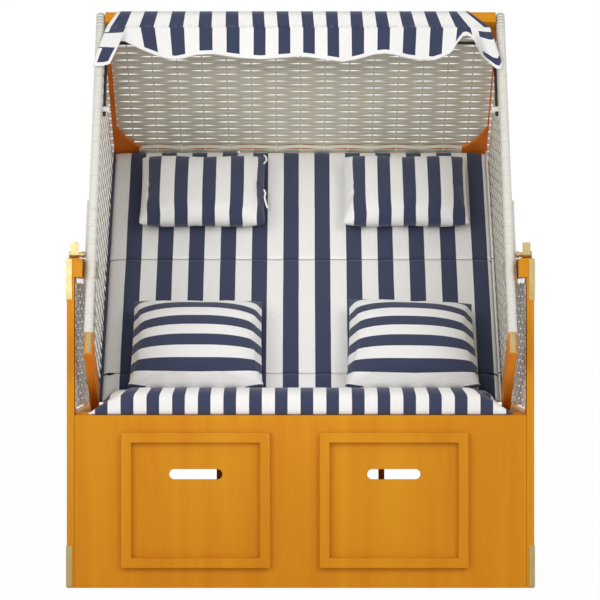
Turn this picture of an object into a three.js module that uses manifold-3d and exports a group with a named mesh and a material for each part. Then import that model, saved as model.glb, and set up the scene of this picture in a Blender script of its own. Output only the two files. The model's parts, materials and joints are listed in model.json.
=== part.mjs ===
// A two-seat hooded beach chair: a wooden base with two pull-out footrests, a wicker hood that tilts on
// hooks at the front of the arms, its cushions, and a small cloth awning on a folding bow.
// Millimetres, +Z up, +Y to the back. The origin is the middle of the front panel's underside.
// The hood is drawn upright about its pivot and then leaned back to its rearmost stop.
import * as THREE from "three";
import { mergeVertices } from "three/addons/utils/BufferGeometryUtils.js";
import Module from "manifold-3d";

const wasm = await Module();
wasm.setup();

// Driving dimensions of the whole chair
const overallWidth = 1180;
const baseDepth = 682;
const armTop = 830;
const seatLevel = 440;
const board = 19;
const seat = 0.3; // the gap that pieces in contact keep
const overrun = 5; // of a cut, past the faces it goes through
const smallFacets = 16; // round a small hole or knob

// Angles, in degrees
const recline = 31; // hood from upright to its rearmost stop
const backLean = 13.2; // back from the hood's front edge
const barRise = 3; // hood's bottom bars, front to rear

// Base
const cornerPlateThick = 1.5;
const cornerPlateFront = 13;
const cornerPlateSide = 30;
const cornerPlateHeight = 103;
const upperPlateDrop = 2;
const lowerPlateFoot = 3;
const panelTop = 435;
const postWidth = 65;
const armHeight = 48;
const armWidthInside = 40; // chair's side to the arm's inner edge
const armEdgeRadius = 6;
const skinThick = 6; // wicker skins
const skinInset = 2;
const railWidth = 34;
const railHeight = 60;
const ledgeWidth = 20;
const deckThick = 18;
const slatCount = 6;
const slatGap = 20;
const deckEnd = 40;
const deckBattens = 3;
const deckBattenWidth = 45;
const rearFrameThick = 18;
const rearRail = 60;
const rearStile = 60;
const rearUpright = 16;
const rearUprightShare = 0.373; // of half the width

// Footrests
const footrestShares = [-0.4466, 0.3983]; // their middles, of half the width
const footFrameWidth = 374;
const footFrameHeight = 340;
const footFrameBottom = 51;
const footFrameBar = 25;
const footFrameProud = 15;
const openingLap = 9; // frame over the edge of the opening
const panelClear = 1; // board in the opening, each side
const footBoardThick = 12;
const slotWidth = 134;
const slotHeight = 26;
const slotFromTop = 105; // frame's top edge to the slot's centre line
const footSideThick = 15;
const footBoxInset = 13; // frame's edge to the box, each side
const footBoxLength = 560;
const footBoxDrop = 15; // frame's top to the box's, and the same at the foot
const runnerThick = 20;
const runnerShelf = 25;
const runnerLip = 14;
const runnerLipHeight = 24;
const runClear = 2;

// Pivot hooks and bolts
const pivotSetback = 75; // front plane to the pivot
const strapThick = 3.4;
const hookWidth = 20;
const hookOuterInset = 5; // hook's outer edge to the arm's outer face
const hookFlange = 70;
const hookTongue = 31; // tongue's top over the bolt's axis
const boltRadius = 6;
const boltCollarRadius = 8.5;
const boltCollarLength = 7;
const boltHeadRadius = 9;
const boltHeadLength = 3;
const boltHeadClear = 1;

// Hood, from its pivot
const tubeRadius = 12;
const tubeInset = 60; // chair's side to the tube's middle
const tubeFront = -20;
const tubeFoot = -240;
const hoodTop = 750;
const sideInset = 65; // chair's side to the wall's inner face
const sideThick = 12;
const wallClear = 6; // hood's walls over the deck at full recline
const barHeight = 64;
const barInset = 72;
const barThick = 21;
const endPlateWidth = 13.5;
const endPlateHeight = 58;
const endPlateThick = 2;
const endPlateDrop = 3;
const pivotPlateBelow = 81;
const pivotPlateAbove = 167;
const pivotPlateDepth = 200;
const pivotPlateInset = 42;
const roofThick = 12;
const frontRailHeight = 32;
const frontRailDrop = 5; // roof's top to the rail's
const roofBattens = [13, 4]; // widths of the left and right battens, thin where the weave laps over
const roofFrontBatten = 19;
const roofRearBattenProud = 2; // of the back cushion's face
const roofBattenThick = 8;
const bracketAcross = 68;
const bracketAlong = 105;
const bracketHollowShare = 0.32; // how far its free edge curves into the corner
const gapHeight = 8; // slots for the openings of the weave in the roof and the walls
const gapWeb = 15; // between one column of slots and the next
const gapMargin = 30; // between the slots and the edges
const roofGaps = [12, 9]; // columns across and rows to the rear
const wallGaps = [8, 10]; // columns to the rear and rows up
const backFootY = 395; // lower end of the cushioned face of the back
const backFootZ = -183;
const cushionThick = 45;
const backFrameThick = 20;
const backSkin = 8;
const backFrameFoot = 92;
const backStile = 62;
const backRail = 70;
const backRailCount = 3;

// Recline latch
const latchBehind = 12; // bolt's axis behind the outer skin of the back
const latchUp = 128; // and up from the back's foot
const latchRadius = 6;
const latchLength = 108;
const latchKnobRadius = 12;
const latchKnobLength = 16;
const latchTipClear = 2.5;
const guideLength = 50;
const guideSize = 24;
const guideInset = 6;
const rackThick = 10;
const rackWidth = 40;
const rackHoleRadius = 7;
const rackSteps = 3; // notches after the rearmost
const rackEndTurn = 1.5; // degrees past the last holes

// Cushions and pillows
const seatCushionTop = 490;
const seatRollTop = 503;
const seatRollDepth = 96;
const seatRollFace = 478; // top of the roll's upright face
const seatRollInset = 56; // chair's side to the roll's end
const seatCushionInset = 88; // and to the cushion's side behind the roll
const seatCushionRear = 470;
const seatCushionOverhang = 4; // front roll past the panel's face
const seatRollDroop = 437; // underside of the roll over the panel
const seatEndHeight = 0.35; // share of the seat's height that is left at its ends
const seatEndPower = 24; // how square its ends are
const seatStationShares = [0, 0.01, 0.035, 0.08, 0.15, 0.3, 0.5, 0.7, 0.85, 0.92, 0.965, 0.99, 1];
const backEndThick = 0.3; // share of the back's thickness that is left at its sides
const backEndPower = 20;
const backStationShares = [0, 0.012, 0.04, 0.1, 0.25, 0.5, 0.75, 0.9, 0.96, 0.988, 1];
const backCushionInset = 67.6;
const backCushionFoot = 21;
const backCushionDrop = 19; // top of the back to the cushion's top
const backSeams = [305, 592]; // heights of its two sewn channels
const backFootCut = 0.44; // share of its thickness that stands on the seat
const channelDepth = 9;
const channelWidth = 26;
const headPillow = { width: 360, height: 276, thick: 84, drop: 75, pinch: 7, roundness: 4 };
const headPillowShares = [-0.456, 0.49]; // their middles, of half the width
const lowPillow = { width: 362, height: 322, thick: 114, pinch: 10, roundness: 2.6 };
const lowPillowShares = [-0.461, 0.495];
const pillowFullness = 0.6; // how quickly it fills out from its edges
const pillowSag = 0.86; // the lower, the more of its filling lies near the foot
const lowPillowSetback = 252.9; // front plane to its lower edge
const lowPillowFoot = 493.8;
const lowPillowLean = 44.2;

// Awning
const bowRadius = 4;
const bowInset = 76; // chair's side to the bow's arm
const bowPivotY = 30;
const bowPivotZ = 465;
const bowReach = 215;
const bowBend = 34;
const bowStub = 18;
const knobRadius = 9;
const knobLength = 24;
const clothThick = 2;
const clothTopInset = 128; // chair's side to the cloth's side, on top
const clothFoldInset = 84; // and at the fold
const clothLap = 20; // cloth on top of the front rail
const clothFold = 51; // rail's top to the fold
const clothDrop = 74; // fold to the hem
const clothHemInset = 66; // and at the hem
const clothFlapDrop = 44; // corner flaps below the hem
const clothWave = 9;
const clothWaves = 6;
const clothArch = 42; // hem's rise beside the flaps
const clothClear = 1.3;
const clothFlapShare = 0.93; // of the half width, where the corner flaps start
const clothArchShare = 0.87; // and where the arch beside them is highest
const clothArchWidthShare = 0.05;
const clothRows = [2, 4, 9]; // of quads down: to the top's edge, to the fold, to the hem
const clothColumns = 72;

const rad = THREE.MathUtils.degToRad;

// Places worked out from the sizes
const frontY = -board / 2;
const rearY = frontY + baseDepth;
const halfWidth = overallWidth / 2;
const outerX = halfWidth - cornerPlateThick - seat;
const innerX = outerX - board;
const skinInner = innerX - seat - skinThick;
const armInner = halfWidth - armWidthInside;
const armFoot = armTop - armHeight;
const rearUprightX = halfWidth * rearUprightShare;
const footrestX = footrestShares.map((share) => halfWidth * share);
const footBoxWidth = footFrameWidth - 2 * footBoxInset;
const footBoxTop = footFrameBottom + footFrameHeight - footBoxDrop;
const footBoxFoot = footFrameBottom + footBoxDrop;
const tubeCentreX = halfWidth - tubeInset;
const sideInner = halfWidth - sideInset;
const barInner = halfWidth - barInset;
const pivotPlateOuter = halfWidth - pivotPlateInset;
const seatRollHalf = halfWidth - seatRollInset;
const seatCushionHalf = halfWidth - seatCushionInset;
const backCushionHalf = halfWidth - backCushionInset;
const headPillowX = headPillowShares.map((share) => halfWidth * share);
const lowPillowX = lowPillowShares.map((share) => halfWidth * share);
const bowX = halfWidth - bowInset;
const knobInner = sideInner - seat - knobLength;
const clothTopHalf = halfWidth - clothTopInset;
const clothFoldHalf = halfWidth - clothFoldInset;
const clothHemHalf = halfWidth - clothHemInset;
const panelBack = frontY + board;
const rearFrameFront = rearY - rearFrameThick;
const pivotY = frontY + pivotSetback;
const hookRadius = boltRadius + seat;
const pivotZ = armTop + seat + strapThick + hookRadius;
const tubeAxisY = tubeFront + tubeRadius;
const tubeBack = tubeFront + 2 * tubeRadius;
const roofUnder = hoodTop - roofThick;
const frontRailTop = hoodTop - frontRailDrop;
const backTurn = rad(backLean);
// The back's top is as far up as its frame stays clear of the roof
const backTop =
  (roofUnder - seat - backFootZ + (cushionThick + seat) * Math.sin(backTurn)) / Math.cos(backTurn) - seat;
const backCushionTop = backTop - backCushionDrop;
const headPillowFoot = backCushionTop - headPillow.drop - headPillow.height;
const barSlope = Math.tan(rad(barRise));
const barFoot = tubeFoot - seat - barHeight;
// The bars' rear ends come down on the deck at full recline
const barRear =
  (seatLevel + seat - pivotZ - Math.cos(rad(recline)) * (barFoot - tubeFront * barSlope)) /
  (Math.cos(rad(recline)) * barSlope - Math.sin(rad(recline)));
const backPanelRear = cushionThick + backFrameThick + backSkin + 3 * seat;

// Finishes
const material = (color, roughness, metalness = 0) =>
  new THREE.MeshStandardMaterial({ color, roughness, metalness });
const wood = material(0xce8a20, 0.55);
const wicker = material(0xdcdcd2, 0.6);
const brass = material(0xc9b15c, 0.35, 0.9);
const black = material(0x1c1c1c, 0.5, 0.3);
const white = material(0xf0eeee, 0.5);
const stripes = material(0x8d90a4, 0.9);

// Adds one named piece to a group.
function piece(group, name, geometry, finish) {
  const mesh = new THREE.Mesh(geometry, finish);
  mesh.name = name;
  group.add(mesh);
  return mesh;
}

// A box between two corners.
function block([x0, y0, z0], [x1, y1, z1]) {
  return new THREE.BoxGeometry(x1 - x0, y1 - y0, z1 - z0).translate(
    (x0 + x1) / 2,
    (y0 + y1) / 2,
    (z0 + z1) / 2,
  );
}

const extrude = (shape, depth, curveSegments) =>
  new THREE.ExtrudeGeometry(shape, { depth, bevelEnabled: false, curveSegments });

// A profile drawn in x and z, run from y0 to y1.
const alongY = (shape, y0, y1, curve = 6) =>
  extrude(shape, y1 - y0, curve).rotateX(Math.PI / 2).translate(0, y1, 0);

// A profile drawn in y and z, run between two distances out from the middle, on one side.
function alongX(shape, side, near, far, curve = 6) {
  const turn = new THREE.Matrix4().makeBasis(
    new THREE.Vector3(0, 1, 0),
    new THREE.Vector3(0, 0, 1),
    new THREE.Vector3(1, 0, 0),
  );
  const start = side > 0 ? near : -far;
  return extrude(shape, far - near, curve).applyMatrix4(turn).translate(start, 0, 0);
}

// A profile drawn in x and y, run from z0 to z1.
const alongZ = (shape, z0, z1, curve = 6) =>
  extrude(shape, z1 - z0, curve).translate(0, 0, z0);

// A box on one side, given by its distances out from the middle.
function sideBlock(side, near, far, y0, y1, z0, z1) {
  const [x0, x1] = side > 0 ? [near, far] : [-far, -near];
  return block([x0, y0, z0], [x1, y1, z1]);
}

function outline(points) {
  const shape = new THREE.Shape();
  points.forEach(([a, b], i) => (i ? shape.lineTo(a, b) : shape.moveTo(a, b)));
  shape.closePath();
  return shape;
}

const rectangle = (a0, b0, a1, b1) =>
  outline([
    [a0, b0],
    [a1, b0],
    [a1, b1],
    [a0, b1],
  ]);

function stadium(centreA, centreB, length, height) {
  const r = height / 2;
  const half = length / 2 - r;
  const shape = new THREE.Path();
  shape.absarc(centreA + half, centreB, r, -Math.PI / 2, Math.PI / 2);
  shape.absarc(centreA - half, centreB, r, Math.PI / 2, (3 * Math.PI) / 2);
  shape.closePath();
  return shape;
}

// A turned solid with its axis along x, from a profile of [distance out, radius].
function turnedX(side, profile, y, z, around = 20) {
  const points = profile.map(([along, radius]) => new THREE.Vector2(radius, along));
  const solid = new THREE.LatheGeometry(points, around).rotateZ(-Math.PI / 2);
  if (side < 0) solid.rotateY(Math.PI);
  return solid.translate(0, y, z);
}

// A closed geometry from points and triangles, with its faces turned out.
function closed(positions, index) {
  const corner = (i) => new THREE.Vector3().fromArray(positions, 3 * i);
  let volume = 0;
  for (let i = 0; i < index.length; i += 3)
    volume += corner(index[i]).dot(corner(index[i + 1]).cross(corner(index[i + 2])));
  return new THREE.BufferGeometry()
    .setAttribute("position", new THREE.Float32BufferAttribute(positions, 3))
    .setIndex(volume < 0 ? index.reverse() : index);
}

// One solid from rings of points, each ring a closed loop, with its ends fanned shut.
function loft(rings) {
  const count = rings[0].length;
  const positions = [];
  const index = [];
  rings.forEach((ring) => ring.forEach((p) => positions.push(...p)));
  rings.slice(1).forEach((_, k) => {
    for (let i = 0; i < count; i++) {
      const a = k * count + i;
      const b = k * count + ((i + 1) % count);
      index.push(a, b, a + count, b, b + count, a + count);
    }
  });
  [0, rings.length - 1].forEach((k, end) => {
    const centre = rings[k]
      .reduce((sum, p) => sum.map((v, j) => v + p[j]), [0, 0, 0])
      .map((v) => v / count);
    const hub = positions.length / 3;
    positions.push(...centre);
    for (let i = 0; i < count; i++) {
      const a = k * count + i;
      const b = k * count + ((i + 1) % count);
      index.push(...(end ? [a, b, hub] : [b, a, hub]));
    }
  });
  return closed(positions, index);
}

// One solid between two grids of points that share their border.
function padded(front, back, across, up) {
  const positions = [];
  const index = [];
  const id = (grid) => (i, j) => {
    const edge = i === 0 || j === 0 || i === across || j === up;
    return (edge ? 0 : grid) * (across + 1) * (up + 1) + j * (across + 1) + i;
  };
  for (const surface of [front, back])
    for (let j = 0; j <= up; j++)
      for (let i = 0; i <= across; i++) positions.push(...surface(i / across, j / up));
  [0, 1].forEach((grid) => {
    const at = id(grid);
    for (let j = 0; j < up; j++)
      for (let i = 0; i < across; i++) {
        const quad = [at(i, j), at(i + 1, j), at(i + 1, j + 1), at(i, j + 1)];
        const [a, b, c, d] = grid ? quad.reverse() : quad;
        index.push(a, b, c, a, c, d);
      }
  });
  return closed(positions, index);
}

// How full a cushion is at a place across it, from 1 in the middle to 0 at its ends.
const endFullness = (across, power) => Math.sqrt(1 - Math.abs(across) ** power);

// The solid of a geometry, and back again, for a cut.
function solidOf(geometry) {
  const bare = geometry.clone();
  bare.deleteAttribute("normal");
  bare.deleteAttribute("uv");
  const merged = mergeVertices(bare.index ? bare.toNonIndexed() : bare, 1e-3);
  return new wasm.Manifold(
    new wasm.Mesh({
      numProp: 3,
      vertProperties: new Float32Array(merged.attributes.position.array),
      triVerts: new Uint32Array(merged.index.array),
    }),
  );
}

function cut(geometry, ...tools) {
  const mesh = tools
    .reduce((solid, tool) => solid.subtract(solidOf(tool)), solidOf(geometry))
    .getMesh();
  return new THREE.BufferGeometry()
    .setAttribute("position", new THREE.BufferAttribute(mesh.vertProperties, 3))
    .setIndex(new THREE.BufferAttribute(mesh.triVerts, 1));
}

// The cutter for a round hole along x, through what lies between two distances out.
const drill = (side, near, far, radius, y, z) =>
  turnedX(
    side,
    [
      [near - overrun, 0],
      [near - overrun, radius],
      [far + overrun, radius],
      [far + overrun, 0],
    ],
    y,
    z,
    smallFacets,
  );

const sides = [
  ["left", -1],
  ["right", 1],
];
const footrests = [
  ["left", footrestX[0]],
  ["right", footrestX[1]],
];

const chair = new THREE.Group();

// The front panel, with an opening for each footrest.
function frontPanel() {
  const half = innerX - seat;
  const reach = footFrameWidth / 2 - openingLap;
  const openings = footrests.map(([, x]) =>
    block(
      [x - reach, frontY - overrun, footFrameBottom + openingLap],
      [x + reach, panelBack + overrun, footFrameBottom + footFrameHeight - openingLap],
    ),
  );
  const whole = block([-half, frontY, 0], [half, panelBack, panelTop]);
  piece(chair, "front_panel", cut(whole, ...openings), wood);
}

// Each side: a board with two posts rising from it, the arm on the posts, and a wicker skin inside.
function sideWall(name, side) {
  const top = armFoot - seat;
  const frame = outline([
    [frontY, 0],
    [rearY, 0],
    [rearY, top],
    [rearY - postWidth, top],
    [rearY - postWidth, seatLevel],
    [frontY + postWidth, seatLevel],
    [frontY + postWidth, top],
    [frontY, top],
  ]);
  piece(chair, `side_frame_${name}`, alongX(frame, side, innerX, outerX), wood);

  const r = armEdgeRadius;
  const [x0, x1] = side > 0 ? [armInner, outerX] : [-outerX, -armInner];
  const arm = new THREE.Shape();
  arm.moveTo(x0, armFoot);
  arm.lineTo(x1, armFoot);
  arm.absarc(x1 - r, armTop - r, r, 0, Math.PI / 2);
  arm.absarc(x0 + r, armTop - r, r, Math.PI / 2, Math.PI);
  arm.closePath();
  piece(chair, `arm_${name}`, alongY(arm, frontY, rearY, 4), wood);

  piece(
    chair,
    `side_skin_${name}`,
    sideBlock(
      side,
      skinInner,
      innerX - seat,
      frontY + skinInset,
      rearY - skinInset,
      seatLevel + seat,
      armFoot - seat,
    ),
    wicker,
  );
}

// A rail along each side at seat height, with a ledge that carries the deck.
function seatRail(name, side) {
  const far = innerX - seat;
  const near = innerX - railWidth;
  const ledgeTop = seatLevel - deckThick - seat;
  const profile = [
    [far, seatLevel],
    [near, seatLevel],
    [near, ledgeTop],
    [near - ledgeWidth, ledgeTop],
    [near - ledgeWidth, seatLevel - railHeight],
    [far, seatLevel - railHeight],
  ].map(([x, z]) => [side * x, z]);
  const shape = outline(side > 0 ? profile : profile.reverse());
  piece(chair, `seat_rail_${name}`, alongY(shape, panelBack + seat, rearFrameFront - seat), wood);
}

// The slatted deck: slats across, flush battens front to back.
function seatDeck() {
  const half = innerX - railWidth - seat;
  const front = panelBack + seat;
  const depth = rearFrameFront - seat - front;
  const slat = (depth - (slatCount - 1) * slatGap) / slatCount;
  const foot = seatLevel - deckThick;
  const gaps = [];
  const field = 2 * (half - deckEnd);
  const bay = (field - (deckBattens - 2) * deckBattenWidth) / (deckBattens - 1);
  for (let row = 1; row < slatCount; row++)
    for (let column = 0; column < deckBattens - 1; column++) {
      const x = -half + deckEnd + column * (bay + deckBattenWidth);
      const y = front + row * (slat + slatGap) - slatGap;
      gaps.push(block([x, y, foot - overrun], [x + bay, y + slatGap, seatLevel + overrun]));
    }
  const whole = block([-half, front, foot], [half, front + depth, seatLevel]);
  piece(chair, "seat_deck", cut(whole, ...gaps), wood);
}

// The rear frame below the seat, open between its uprights.
function rearFrame() {
  const half = innerX - seat;
  const stops = [
    -half + rearStile,
    -rearUprightX - rearUpright / 2,
    -rearUprightX + rearUpright / 2,
    rearUprightX - rearUpright / 2,
    rearUprightX + rearUpright / 2,
    half - rearStile,
  ];
  const windows = [];
  for (let i = 0; i < stops.length; i += 2)
    windows.push(
      block(
        [stops[i], rearFrameFront - overrun, rearRail],
        [stops[i + 1], rearY + overrun, seatLevel - rearRail],
      ),
    );
  const whole = block([-half, rearFrameFront, 0], [half, rearY, seatLevel]);
  piece(chair, "rear_frame", cut(whole, ...windows), wood);
}

// The runners that the footrests slide on: a shelf under each side board and a lip beside it.
function runners() {
  const top = footBoxFoot - seat;
  const foot = top - runnerThick;
  const lipTop = top + runnerLipHeight;
  const half = footBoxWidth / 2;
  // One step of a runner's profile, for a side board at x whose box lies towards dir
  const shelf = (x, dir) => [
    [x + dir * runnerShelf, foot],
    [x + dir * runnerShelf, top],
    [x - dir * runClear, top],
    [x - dir * runClear, lipTop],
    [x - dir * (runClear + runnerLip), lipTop],
  ];
  const run = (name, points) =>
    piece(
      chair,
      name,
      alongY(outline(points), panelBack + seat, rearFrameFront - seat),
      wood,
    );
  const outerLeft = footrestX[0] - half;
  const outerRight = footrestX[1] + half;
  run("runner_left", [
    ...shelf(outerLeft, 1),
    [outerLeft - runClear - runnerLip, foot],
  ]);
  run(
    "runner_right",
    [...shelf(outerRight, -1), [outerRight + runClear + runnerLip, foot]].reverse(),
  );
  const innerLeft = footrestX[0] + half;
  const innerRight = footrestX[1] - half;
  run("runner_middle", [
    ...shelf(innerRight, 1),
    [innerRight - runClear - runnerLip, top],
    [innerLeft + runClear + runnerLip, top],
    ...shelf(innerLeft, -1).reverse(),
  ]);
}

// Brass plates round the front corners, top and bottom.
function cornerPlates(name, side) {
  const inner = outerX + seat;
  const front = frontY - seat;
  const plan = [
    [outerX - cornerPlateFront, front],
    [outerX - cornerPlateFront, front - cornerPlateThick],
    [inner + cornerPlateThick, front - cornerPlateThick],
    [inner + cornerPlateThick, front + cornerPlateSide],
    [inner, front + cornerPlateSide],
    [inner, front],
  ].map(([x, y]) => [side * x, y]);
  const shape = outline(side > 0 ? plan : plan.reverse());
  const upperTop = armTop - upperPlateDrop;
  const spans = {
    upper: [upperTop - cornerPlateHeight, upperTop],
    lower: [lowerPlateFoot, lowerPlateFoot + cornerPlateHeight],
  };
  for (const [place, [z0, z1]] of Object.entries(spans))
    piece(chair, `corner_plate_${place}_${name}`, alongZ(shape, z0, z1), brass);
}

// The open hook on each arm: a strap that curls under the bolt and rises in front of it.
function pivotHook(name, side) {
  const inner = hookRadius;
  const outer = hookRadius + strapThick;
  const profile = new THREE.Shape();
  profile.moveTo(pivotY + hookFlange, pivotZ - inner);
  profile.lineTo(pivotY, pivotZ - inner);
  profile.absarc(pivotY, pivotZ, inner, -Math.PI / 2, -Math.PI, true);
  profile.lineTo(pivotY - inner, pivotZ + hookTongue);
  profile.lineTo(pivotY - outer, pivotZ + hookTongue);
  profile.lineTo(pivotY - outer, pivotZ);
  profile.absarc(pivotY, pivotZ, outer, -Math.PI, -Math.PI / 2, false);
  profile.lineTo(pivotY + hookFlange, pivotZ - outer);
  profile.closePath();
  const far = outerX - hookOuterInset;
  piece(chair, `pivot_hook_${name}`, alongX(profile, side, far - hookWidth, far, 8), brass);
}

// The rack beside each wall: a curved batten with a hole for each stop of the hood.
const latchLocal = backPanelRear + latchBehind;
const latchY = backFootY + latchUp * Math.sin(backTurn) + latchLocal * Math.cos(backTurn);
const latchZ = backFootZ + latchUp * Math.cos(backTurn) - latchLocal * Math.sin(backTurn);
const latchSwing = Math.hypot(latchY, latchZ);
const latchAngle = Math.atan2(latchZ, latchY);
const rackInner = skinInner - seat - rackThick;

function reclineRack(name, side) {
  const high = latchAngle + rad(rackEndTurn);
  const low = latchAngle - rad(recline + rackEndTurn);
  const shape = new THREE.Shape();
  shape.absarc(pivotY, pivotZ, latchSwing + rackWidth / 2, low, high, false);
  shape.absarc(pivotY, pivotZ, latchSwing - rackWidth / 2, high, low, true);
  shape.closePath();
  const holes = [];
  for (let i = 0; i <= rackSteps; i++) {
    const angle = latchAngle - (rad(recline) * i) / rackSteps;
    const y = pivotY + latchSwing * Math.cos(angle);
    const z = pivotZ + latchSwing * Math.sin(angle);
    holes.push(drill(side, rackInner, rackInner + rackThick, rackHoleRadius, y, z));
  }
  const batten = alongX(shape, side, rackInner, rackInner + rackThick, 10);
  piece(chair, `recline_rack_${name}`, cut(batten, ...holes), wood);
}

// The seat cushion: a slab with a thick roll along the front that droops over the panel.
function seatCushion() {
  const front = frontY - seatCushionOverhang;
  const foot = seatLevel + seat;
  const rollRear = front + seatRollDepth;
  const rearRound = (seatCushionTop - foot) / 2;
  const profile = [
    [frontY + seat, seatRollDroop],
    [front, (seatRollDroop + seatRollFace) / 2],
    [front + seatRollDepth / 24, seatRollFace],
    [front + seatRollDepth / 6, THREE.MathUtils.lerp(seatRollFace, seatRollTop, 0.55)],
    [front + seatRollDepth / 2, seatRollTop],
    [front + (3 * seatRollDepth) / 4, seatRollTop - seat],
    [rollRear, seatCushionTop - channelDepth / 3],
    [rollRear + channelWidth, seatCushionTop],
    [seatCushionRear - rearRound, seatCushionTop],
    [seatCushionRear - rearRound / 4, seatCushionTop - rearRound / 3],
    [seatCushionRear, foot + rearRound],
    [seatCushionRear - rearRound / 4, foot + rearRound / 3],
    [seatCushionRear - rearRound, foot],
    [rollRear, foot],
    [panelBack, foot],
  ];
  const middle = (foot + seatCushionTop) / 2;
  const rings = seatStationShares.map((share) => {
    const across = 2 * share - 1;
    const fullness = endFullness(across, seatEndPower);
    return profile.map(([y, z]) => {
      const behind = THREE.MathUtils.smoothstep(y, frontY, rollRear);
      const half = THREE.MathUtils.lerp(seatRollHalf, seatCushionHalf, behind);
      const swell = THREE.MathUtils.lerp(seatEndHeight, 1, fullness);
      const upper = z > middle ? foot + (z - foot) * swell : z;
      return [across * half, y, z < foot ? THREE.MathUtils.lerp(foot, z, fullness) : upper];
    });
  });
  piece(chair, "seat_cushion", loft(rings), stripes);
}

// A footrest: raised frame, recessed board with a hand slot, and the box that runs on the runners.
function footrest(name, x) {
  const half = footFrameWidth / 2;
  const top = footFrameBottom + footFrameHeight;
  const frame = rectangle(x - half, footFrameBottom, x + half, top);
  const bar = footFrameBar;
  frame.holes.push(
    rectangle(x - half + bar, footFrameBottom + bar, x + half - bar, top - bar),
  );
  const frameBack = frontY - seat;
  piece(
    chair,
    `footrest_frame_${name}`,
    alongY(frame, frameBack - footFrameProud, frameBack),
    wood,
  );

  const reach = openingLap + panelClear;
  const boardShape = rectangle(
    x - half + reach,
    footFrameBottom + reach,
    x + half - reach,
    top - reach,
  );
  boardShape.holes.push(stadium(x, top - slotFromTop, slotWidth, slotHeight));
  piece(
    chair,
    `footrest_board_${name}`,
    alongY(boardShape, frontY, frontY + footBoardThick, 10),
    wood,
  );

  const boxHalf = footBoxWidth / 2;
  const wall = footSideThick;
  const boxShape = outline([
    [x - boxHalf, footBoxFoot],
    [x - boxHalf + wall, footBoxFoot],
    [x - boxHalf + wall, footBoxTop - wall],
    [x + boxHalf - wall, footBoxTop - wall],
    [x + boxHalf - wall, footBoxFoot],
    [x + boxHalf, footBoxFoot],
    [x + boxHalf, footBoxTop],
    [x - boxHalf, footBoxTop],
  ]);
  const boxFront = frontY + footBoardThick + seat;
  piece(
    chair,
    `footrest_box_${name}`,
    alongY(boxShape, boxFront, boxFront + footBoxLength),
    wood,
  );
}

// The hood, upright about its pivot, leaned back as a whole.
const hood = new THREE.Group();
hood.position.set(0, pivotY, pivotZ);
hood.rotation.x = -rad(recline);
chair.add(hood);

const barTopAt = (y) => barFoot + barHeight + (y - tubeFront) * barSlope;

// A point of the back, given by its distance behind the cushioned face and its height up the back.
const backPoint = (behind, up) => [
  backFootY + up * Math.sin(backTurn) + behind * Math.cos(backTurn),
  backFootZ + up * Math.cos(backTurn) - behind * Math.sin(backTurn),
];

// Where the plane at a distance behind the cushioned face crosses a height of the hood.
function backLineAt(behind, z) {
  const up = (z - backFootZ + behind * Math.sin(backTurn)) / Math.cos(backTurn);
  return backPoint(behind, up)[0];
}

// The openings of a weave, as the corners of slots in a grid: every second column lies half a row on.
function weaveGaps([a0, b0], [a1, b1], [columns, rows]) {
  const column = (a1 - a0) / columns;
  const row = (b1 - b0) / (rows + 0.5);
  const slots = [];
  for (let i = 0; i < columns; i++)
    for (let j = 0; j < rows; j++) {
      const a = a0 + i * column + gapWeb / 2;
      const b = b0 + (j + (i % 2 ? 1 : 0.5)) * row - gapHeight / 2;
      slots.push([a, b, a + column - gapWeb, b + gapHeight]);
    }
  return slots;
}

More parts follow.
